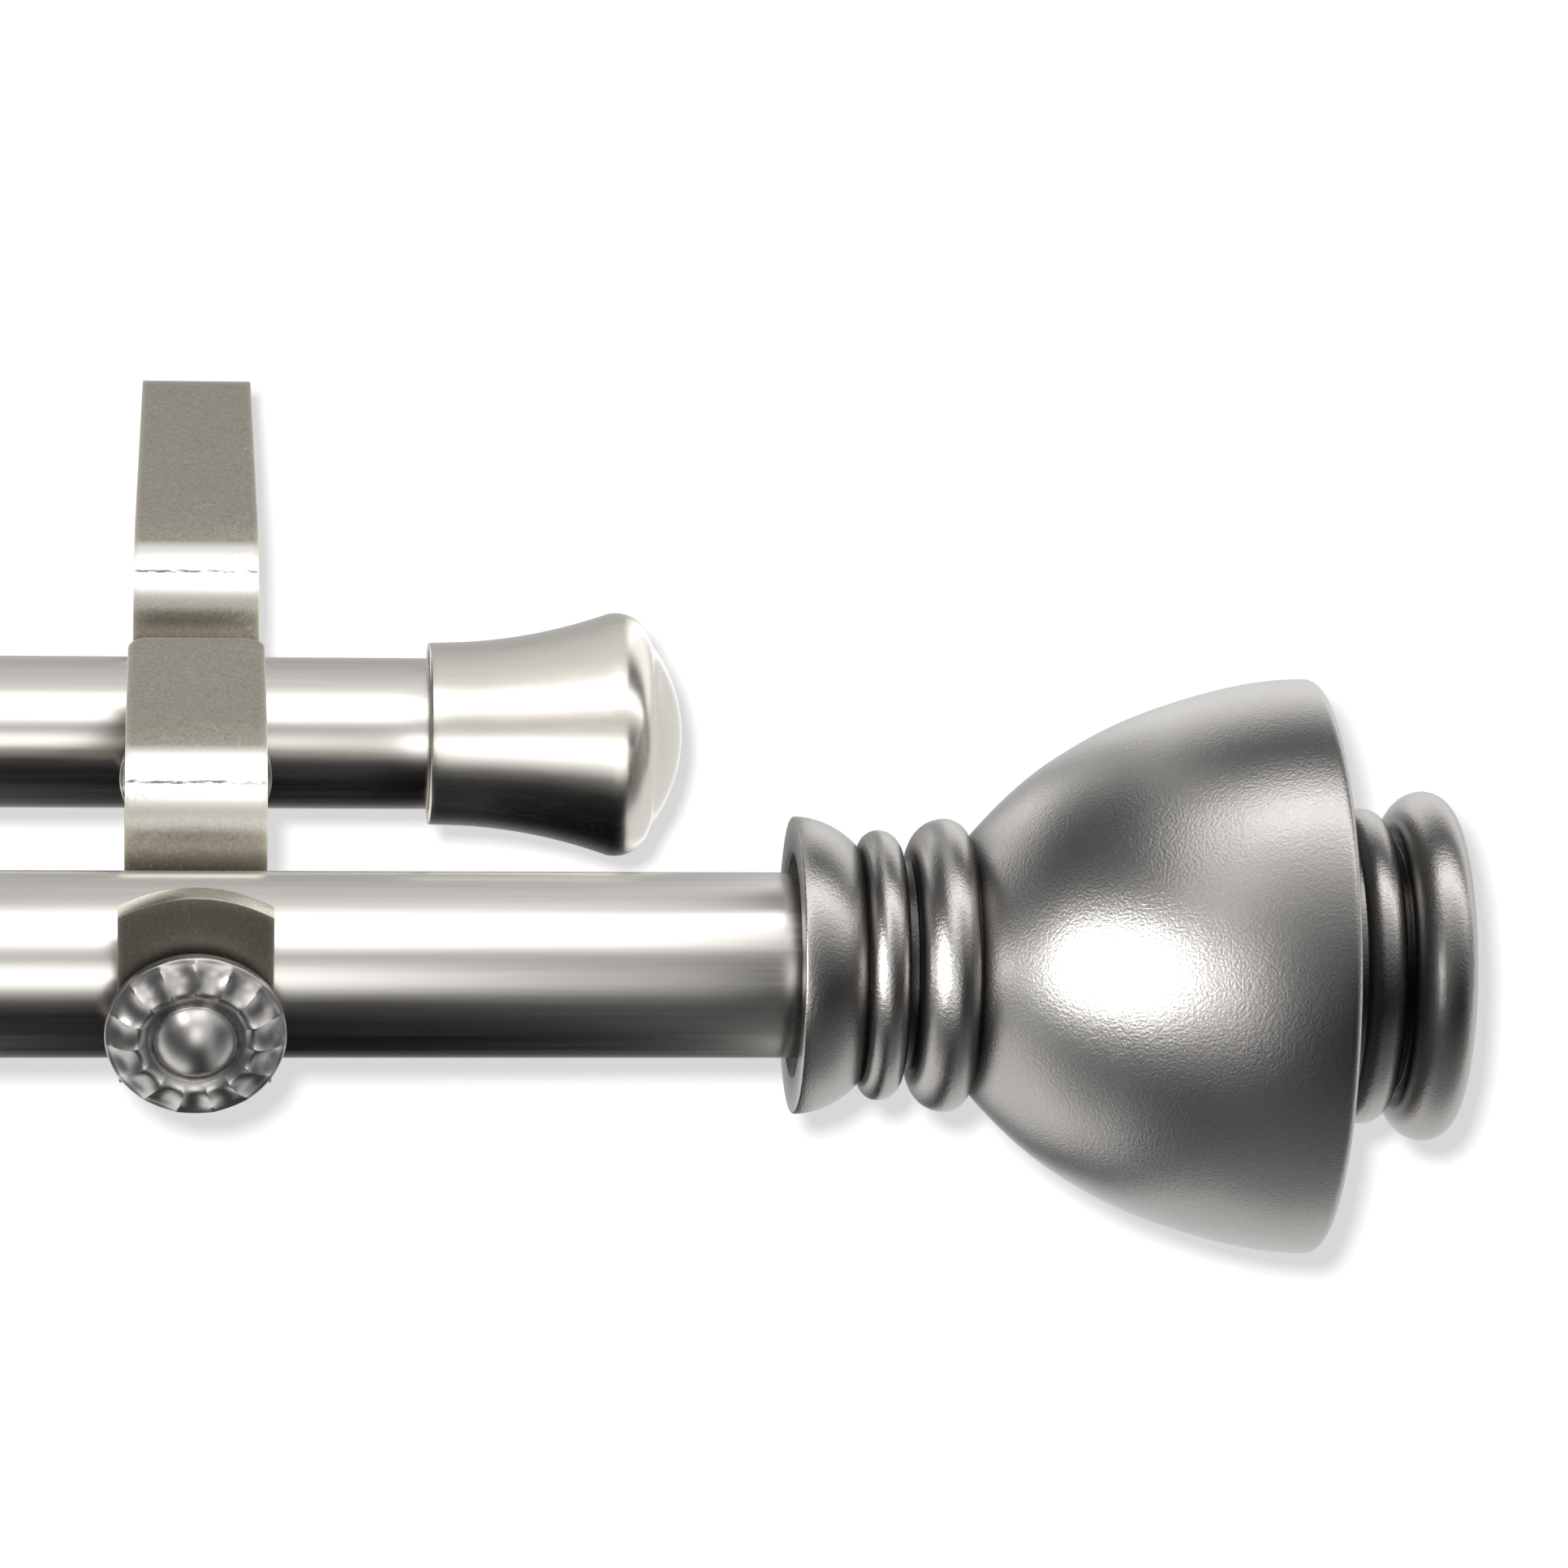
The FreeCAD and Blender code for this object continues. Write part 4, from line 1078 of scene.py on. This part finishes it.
def fluted_knob(side, pole):
    """A knob with concave flutes between its rim and groove, and a domed centre."""
    size = settings("knob")
    node = f"{side}_{pole}_knob"
    place, radius, depth = screw_seat(node)
    crown_r, groove_r = size.crown / 2, size.groove / 2

    def scoop(angle):
        step = (angle * size.flutes / (2 * math.pi)) % 1.0
        return 1 - (2 * step - 1) ** 2

    def relief(distance, r, angle):
        if distance < FLUTE_START or r < groove_r:
            return distance, r
        inwards = (radius - r) / (radius - groove_r)
        share = FLUTE_RIM_DEPTH + (1 - FLUTE_RIM_DEPTH) * smooth_step(inwards / FLUTE_DEEPENS)
        share *= smooth_step((1 - inwards) / FLUTE_RUNS_OUT)
        return distance - size.depth * share * scoop(angle), r

    obj = lathe(f"{side}_{pole}_fluted_knob", knob_profile(size, depth, radius), place, Vector((0, -1, 0)),
                size.flutes * FLUTE_FACETS, relief, sharp_angle=45)
    # Marks where the painted shade lies
    shade_marks = []
    for v in obj.data.vertices:
        out = v.co - place
        r = math.hypot(out.x, out.z)
        flute = scoop(math.atan2(out.x, out.z) % (2 * math.pi)) if r > crown_r else 0.0
        groove = max(0.0, 1 - abs(r - groove_r + SHADE_RING_INSET) / SHADE_RING_WIDTH)
        shade_marks.append(max(FLUTE_SHADE * flute ** 2, groove))
    mark(obj, "hollow", shade_marks)
    show(obj, body_of_node(node), node, material("knob"))


def threaded_screw(side, pole):
    """The screw's shaft with a real thread."""
    size = settings("knob")
    node = f"{side}_{pole}_screw"
    place, radius, length = screw_seat(node)

    def relief(distance, r, angle):
        if r < THREAD_FROM * radius:
            return distance, r
        phase = (distance / size.pitch + angle / (2 * math.pi)) % 1.0
        return distance, r - THREAD_DEPTH * size.pitch * abs(2 * phase - 1)

    steps = math.ceil(length / size.pitch) * 10
    profile = [(0.0, 0.0), (0.0, SHAFT_TIP * radius)]
    profile += [(length * i / steps, radius * min(1.0, THREAD_RUN_IN + i / steps)) for i in range(steps + 1)]
    profile += [(length, SHAFT_TIP * radius), (length, 0.0)]
    obj = lathe(f"{side}_{pole}_threaded_shaft", profile, place, Vector((0, -1, 0)), segments=48,
                relief=relief, sharp_angle=50)
    show(obj, body_of_node(node), node, material("steel"))


class CP_OT_thumb_screws(bpy.types.Operator):
    """Builds the four fluted thumb screws"""

    bl_idname = "curtain_pole.thumb_screws"
    bl_label = "Thumb screws"

    def execute(self, context):
        for side in SIDES:
            for pole in ("front", "back"):
                fluted_knob(side, pole)
                threaded_screw(side, pole)
        return {"FINISHED"}


# Pieces that keep their frame shape

INNER_FINISHES = {"finial_insert": "brass", "finial_stud": "steel", "end_plug": "plastic", "cap_liner": "plastic",
                  "tail_ring": "plastic"}


class CP_OT_inner_pieces(bpy.types.Operator):
    """Gives the plugs, studs, inserts, liners and tail rings their finishes"""

    bl_idname = "curtain_pole.inner_pieces"
    bl_label = "Inner pieces"

    def execute(self, context):
        for node, obj in frame["nodes"].items():
            for word, finish in INNER_FINISHES.items():
                if word in node:
                    obj.data.materials.clear()
                    obj.data.materials.append(material(finish))
        return {"FINISHED"}


# Stage and camera

BACKDROP_SIDE = 8
BACKDROP_GLOW = 0.36
BACKDROP_DISTANCE = 0.98
WORLD_LIGHT = 0.35
CARD_SIDE = 1
LAMP_WATTS = 3.8
LAMP_SIZE = 0.010
LAMP_SHIFT = Vector((-0.008, 0.010, 0.0))

# The camera's sensor in millimetres and the photograph's side in pixels
SENSOR_WIDTH = 36.0
IMAGE_SIDE = 1932


def plane(name, width, depth, place, rotation=(0, 0, 0)):
    w, d = width / 2, depth / 2
    obj = new_object(name, [(-w, -d, 0), (w, -d, 0), (w, d, 0), (-w, d, 0)], [(0, 1, 2, 3)])
    obj.location = place
    obj.rotation_euler = rotation
    return obj


def sees_white(tree):
    """1 on camera, glossy and transmission rays."""
    path = tree.nodes.new("ShaderNodeLightPath")
    seen = math_node(tree, "MAXIMUM", path.outputs["Is Camera Ray"], path.outputs["Is Glossy Ray"])
    return math_node(tree, "MAXIMUM", seen, path.outputs["Is Transmission Ray"])


def one_sided(tree, shader):
    """Shows the shader on the mesh's front and nothing on its back."""
    mix = tree.nodes.new("ShaderNodeMixShader")
    for node, output, place in (("ShaderNodeNewGeometry", "Backfacing", 0), ("ShaderNodeBsdfTransparent", "BSDF", 2)):
        feed(tree, tree.nodes.new(node).outputs[output], mix.inputs[place])
    feed(tree, shader, mix.inputs[1])
    feed(tree, mix.outputs[0], tree.nodes.new("ShaderNodeOutputMaterial").inputs["Surface"])


def backdrop_material(colour):
    """A pale sheet that takes shadows and looks white where it is lit. Its back is clear."""
    material, tree, _ = new_material("Pale Backdrop")
    tree.nodes.clear()
    diffuse = add(tree, "ShaderNodeBsdfDiffuse", in_Color=tuple(colour))
    glow = add(tree, "ShaderNodeEmission", in_Color=(1, 1, 1, 1),
               in_Strength=times(tree, sees_white(tree), BACKDROP_GLOW))
    both = tree.nodes.new("ShaderNodeAddShader")
    feed(tree, diffuse.outputs[0], both.inputs[0])
    feed(tree, glow.outputs[0], both.inputs[1])
    one_sided(tree, both.outputs[0])
    return material


# Brightness round the tents, by angle above the horizon on the room side. The first two tables share their ends
TENT_BELOW = ((-180, 0.60), (-140, 0.40), (-121, 0.15), (-103, 0.03), (-92, 0.0), (-50, 0.0), (-36, 0.005),
              (-24, 0.02), (-14, 0.06))
TENT_BEHIND = ((96, 1.15), (107, 0.92), (116, 0.85), (135, 0.75), (148, 0.65), (165, 0.52), (180, 0.60))

# Over the right-hand bracket
TENT_MIDDLE = TENT_BELOW + ((-7, 0.33), (0, 1.20), (6, 2.20), (17, 2.40), (24, 1.80), (32, 0.75), (41, 0.70),
                            (47, 1.10), (52, 2.50), (87, 2.50)) + TENT_BEHIND

# Over the poles' right ends
TENT_RIGHT = TENT_BELOW + ((-7, 0.28), (0, 0.45), (6, 0.62), (17, 0.66), (23, 0.55), (30, 0.50), (41, 0.60),
                           (47, 1.05), (52, 2.30), (87, 2.30)) + TENT_BEHIND

# Beyond them to the right
TENT_BRIGHT = ((-180, 2.0), (-110, 2.0), (-80, 0.5), (110, 0.6), (140, 2.0), (180, 2.0))

# Past the right-hand bracket to the left
TENT_LEFT = ((-180, 1.6), (-140, 1.3), (-110, 1.20), (-70, 1.20), (-55, 0.45), (-40, 0.18), (-20, 0.05),
             (10, 0.05), (30, 0.06), (60, 0.03), (85, 0.02), (105, 0.02), (132, 0.04), (150, 0.70), (166, 2.3),
             (180, 1.6))

# Round the right finial
TENT_FINIAL = ((-180, 0.90), (-140, 0.95), (-100, 1.00), (-76, 0.88), (-62, 0.36), (-40, 0.20), (-12, 0.06),
               (-2, 0.0), (10, 0.0), (28, 0.06), (45, 0.26), (57, 0.62), (75, 1.20), (82, 3.00), (93, 3.00),
               (98, 0.50), (104, 0.04), (122, 0.04), (130, 0.40), (144, 1.40), (166, 1.5), (180, 0.90))

# Round the right end cap
TENT_CAP = ((-180, 0.60), (-120, 0.42), (-97, 0.15), (-82, 0.03), (-72, 0.0), (-34, 0.0), (-20, 0.005),
            (-8, 0.15), (3, 1.20), (10, 2.40), (22, 2.40), (28, 1.00), (34, 0.75), (43, 0.85), (50, 2.10), (68, 2.20),
            (78, 1.15), (92, 0.95), (104, 0.88), (118, 0.75), (138, 0.55), (180, 0.60))

# The tents' sizes, and the places along X between which one table turns into the next
TENT_STEP = 4
TENT_RADIUS = 0.42
TENT_ENDS = (-2.0, 1.4)
TENT_STATIONS = ((TENT_ENDS[0], TENT_LEFT), (-0.09, TENT_LEFT), (-0.036, TENT_MIDDLE), (0.050, TENT_MIDDLE),
                 (0.105, TENT_RIGHT), (0.12, TENT_RIGHT), (0.22, TENT_BRIGHT), (TENT_ENDS[1], TENT_BRIGHT))
FINIAL_TENT_RADIUS = 0.12
FINIAL_TENT_STATIONS = ((0.088, TENT_FINIAL), (0.40, TENT_FINIAL))
CAP_TENT_RADIUS = 0.03
CAP_TENT_STATIONS = ((0.0295, TENT_CAP), (0.058, TENT_CAP))

# Boards that light one kind of piece: name, ending of the pieces' names, the point that the board faces, its shift
# from there, width, height and strength
BELL = Vector((0.107, FRONT_POLE.y, FRONT_POLE.z))
KNOB = Vector((0, FRONT_POLE.y - 0.02, FRONT_POLE.z))
BOARDS = (("Left Box", "_urn_finial", BELL, (-0.320, -0.300, 0.148), 0.30, 0.20, 13.0),
          ("Left Glow", "_urn_finial", BELL, (-0.330, -0.340, 0.155), 0.62, 0.34, 1.1),
          ("Knob Box", "_fluted_knob", KNOB, (-0.07, -0.26, 0.30), 0.50, 0.20, 6.0))

# Cards that close the two ends of the tent: name, place along X and strength
END_CARDS = (("Left End Card", TENT_ENDS[0], 1.2), ("Right End Card", TENT_ENDS[1], 0.35))


def glow_at(table, angle):
    for (a, low), (b, high) in zip(table, table[1:]):
        if a <= angle <= b:
            return low + (high - low) * (angle - a) / (b - a)
    raise ValueError(f"no brightness is set for {angle} degrees")


def seen_in_reflections_only(obj):
    for ray in ("camera", "diffuse", "transmission", "volume_scatter", "shadow"):
        setattr(obj, "visible_" + ray, False)


def glow_material(name, strength):
    """A glow on the front side, of the given strength or, without one, as the mesh is marked."""
    material, tree, _ = new_material(name)
    tree.nodes.clear()
    strength = attribute(tree, "glow") if strength is None else strength
    one_sided(tree, add(tree, "ShaderNodeEmission", in_Color=(1, 1, 1, 1), in_Strength=strength).outputs[0])
    return material


def light_tent(name, centre, radius, stations):
    """Soft boxes and cards round a line along X through centre, seen only in reflections from inside.
    Each station is a place along X and its brightness table."""
    angles = range(-180, 181, TENT_STEP)
    verts, glow = [], []
    row = len(stations)
    for angle in angles:
        y = centre.y - radius * math.cos(math.radians(angle))
        z = centre.z + radius * math.sin(math.radians(angle))
        verts += [(x, y, z) for x, _ in stations]
        glow += [glow_at(table, angle) for _, table in stations]
    faces = [(row * (i + 1) + k, row * (i + 1) + k + 1, row * i + k + 1, row * i + k)
             for i in range(len(angles) - 1) for k in range(row - 1)]
    tent = new_object(name, verts, faces)
    mark(tent, "glow", glow)
    tent.data.materials.append(glow_material(name, None))
    seen_in_reflections_only(tent)


def panel(name, place, target, width, height, strength):
    """A glowing board that faces its target and shows only in reflections."""
    obj = plane(name, width, height, place)
    obj.rotation_euler = (Vector(target) - Vector(place)).to_track_quat("Z", "Y").to_euler()
    obj.data.materials.append(glow_material(name, strength))
    seen_in_reflections_only(obj)
    return obj


def light_only(ending, lamp):
    """Lets a lamp light only the pieces whose names end so."""
    pieces = [obj for obj in bpy.data.objects if obj.name.endswith(ending)]
    if not pieces:
        raise RuntimeError(f"the pieces {ending} are built before the stage")
    lamp.light_linking.receiver_collection = bpy.data.collections.new(f"Lit by {lamp.name}")
    for obj in pieces:
        lamp.light_linking.receiver_collection.objects.link(obj)


def lens_lamp(camera):
    """A small lamp up and to the left of the lens that casts the soft shadow."""
    data = bpy.data.lights.new("Lens Lamp", "AREA")
    data.shape = "DISK"
    data.size = LAMP_SIZE
    data.energy = LAMP_WATTS
    obj = bpy.data.objects.new("Lens Lamp", data)
    bpy.context.scene.collection.objects.link(obj)
    obj.matrix_world = camera.matrix_world @ Matrix.Translation(LAMP_SHIFT)
    obj.visible_glossy = False


def make_world():
    """Even white surroundings, plainly lit and seen as white."""
    world = bpy.data.worlds.new("Studio")
    world.use_nodes = True
    tree = world.node_tree
    background = tree.nodes["Background"]
    background.inputs["Color"].default_value = (1, 1, 1, 1)
    feed(tree, spread(tree, sees_white(tree), 0, 1, WORLD_LIGHT, 1.0), background.inputs["Strength"])
    bpy.context.scene.world = world


def make_camera():
    """The camera at the place, turn and focal length of the photograph."""
    view = settings("camera")
    data = bpy.data.cameras.new("Photograph")
    data.sensor_width = SENSOR_WIDTH
    data.lens = SENSOR_WIDTH * view.focal_px / IMAGE_SIDE
    obj = bpy.data.objects.new("Photograph", data)
    bpy.context.scene.collection.objects.link(obj)
    forward = Vector((math.sin(view.yaw) * math.cos(view.pitch), math.cos(view.yaw) * math.cos(view.pitch),
                      -math.sin(view.pitch)))
    right = forward.cross(Vector((0, 0, 1))).normalized()
    up = right.cross(forward)
    turned_right = right * math.cos(view.roll) + up * math.sin(view.roll)
    turned_up = up * math.cos(view.roll) - right * math.sin(view.roll)
    rotation = Matrix((turned_right, turned_up, -forward)).transposed()
    obj.matrix_world = Matrix.Translation(view.place) @ rotation.to_4x4()
    bpy.context.scene.camera = obj
    return obj


class CP_OT_stage(bpy.types.Operator):
    """Builds the pale backdrop, the lights and the camera"""

    bl_idname = "curtain_pole.stage"
    bl_label = "Stage and camera"

    def execute(self, context):
        camera = make_camera()
        behind = camera.matrix_world @ Matrix.Translation(Vector((0, 0, -BACKDROP_DISTANCE)))
        backdrop = plane("Backdrop", BACKDROP_SIDE, BACKDROP_SIDE, behind.translation, behind.to_euler())
        backdrop.data.materials.append(backdrop_material(settings("finish").backdrop))
        backdrop.visible_glossy = False
        centre = Vector((0, (FRONT_POLE.y + BACK_POLE.y) / 2, FRONT_POLE.z))
        light_tent("Light Tent", centre, TENT_RADIUS, TENT_STATIONS)
        light_tent("Finial Tent", FRONT_POLE, FINIAL_TENT_RADIUS, FINIAL_TENT_STATIONS)
        light_tent("Cap Tent", BACK_POLE, CAP_TENT_RADIUS, CAP_TENT_STATIONS)
        for name, ending, target, shift, width, height, strength in BOARDS:
            light_only(ending, panel(name, target + Vector(shift), target, width, height, strength))
        for name, x, strength in END_CARDS:
            panel(name, (x, centre.y, centre.z), centre, CARD_SIDE, CARD_SIDE, strength)
        make_world()
        lens_lamp(camera)
        context.scene.view_settings.view_transform = "Standard"
        return {"FINISHED"}


class CP_PT_panel(bpy.types.Panel):
    """Lists the steps and their sizes"""

    bl_idname = "CP_PT_panel"
    bl_label = "Curtain Pole"
    bl_space_type = "VIEW_3D"
    bl_region_type = "UI"
    bl_category = "Curtain Pole"

    def draw(self, context):
        for name, group in SETTINGS.items():
            box = self.layout.box()
            box.label(text=group.__doc__)
            for key in group.__annotations__:
                box.prop(getattr(context.scene, name), key)
        for operator in OPERATORS:
            self.layout.operator(operator.bl_idname)


OPERATORS = (CP_OT_poles, CP_OT_finials, CP_OT_end_caps, CP_OT_brackets, CP_OT_thumb_screws, CP_OT_inner_pieces,
             CP_OT_stage)
CLASSES = tuple(SETTINGS.values()) + OPERATORS + (CP_PT_panel,)


def register():
    for cls in CLASSES:
        bpy.utils.register_class(cls)
    for name, group in SETTINGS.items():
        setattr(bpy.types.Scene, name, bpy.props.PointerProperty(type=group))


def unregister():
    for name in SETTINGS:
        delattr(bpy.types.Scene, name)
    for cls in reversed(CLASSES):
        bpy.utils.unregister_class(cls)


def main():
    register()
    bpy.ops.curtain_pole.poles()
    bpy.ops.curtain_pole.finials()
    bpy.ops.curtain_pole.end_caps()
    bpy.ops.curtain_pole.brackets()
    bpy.ops.curtain_pole.thumb_screws()
    bpy.ops.curtain_pole.inner_pieces()
    bpy.ops.curtain_pole.stage()


if __name__ == "__main__":
    main()
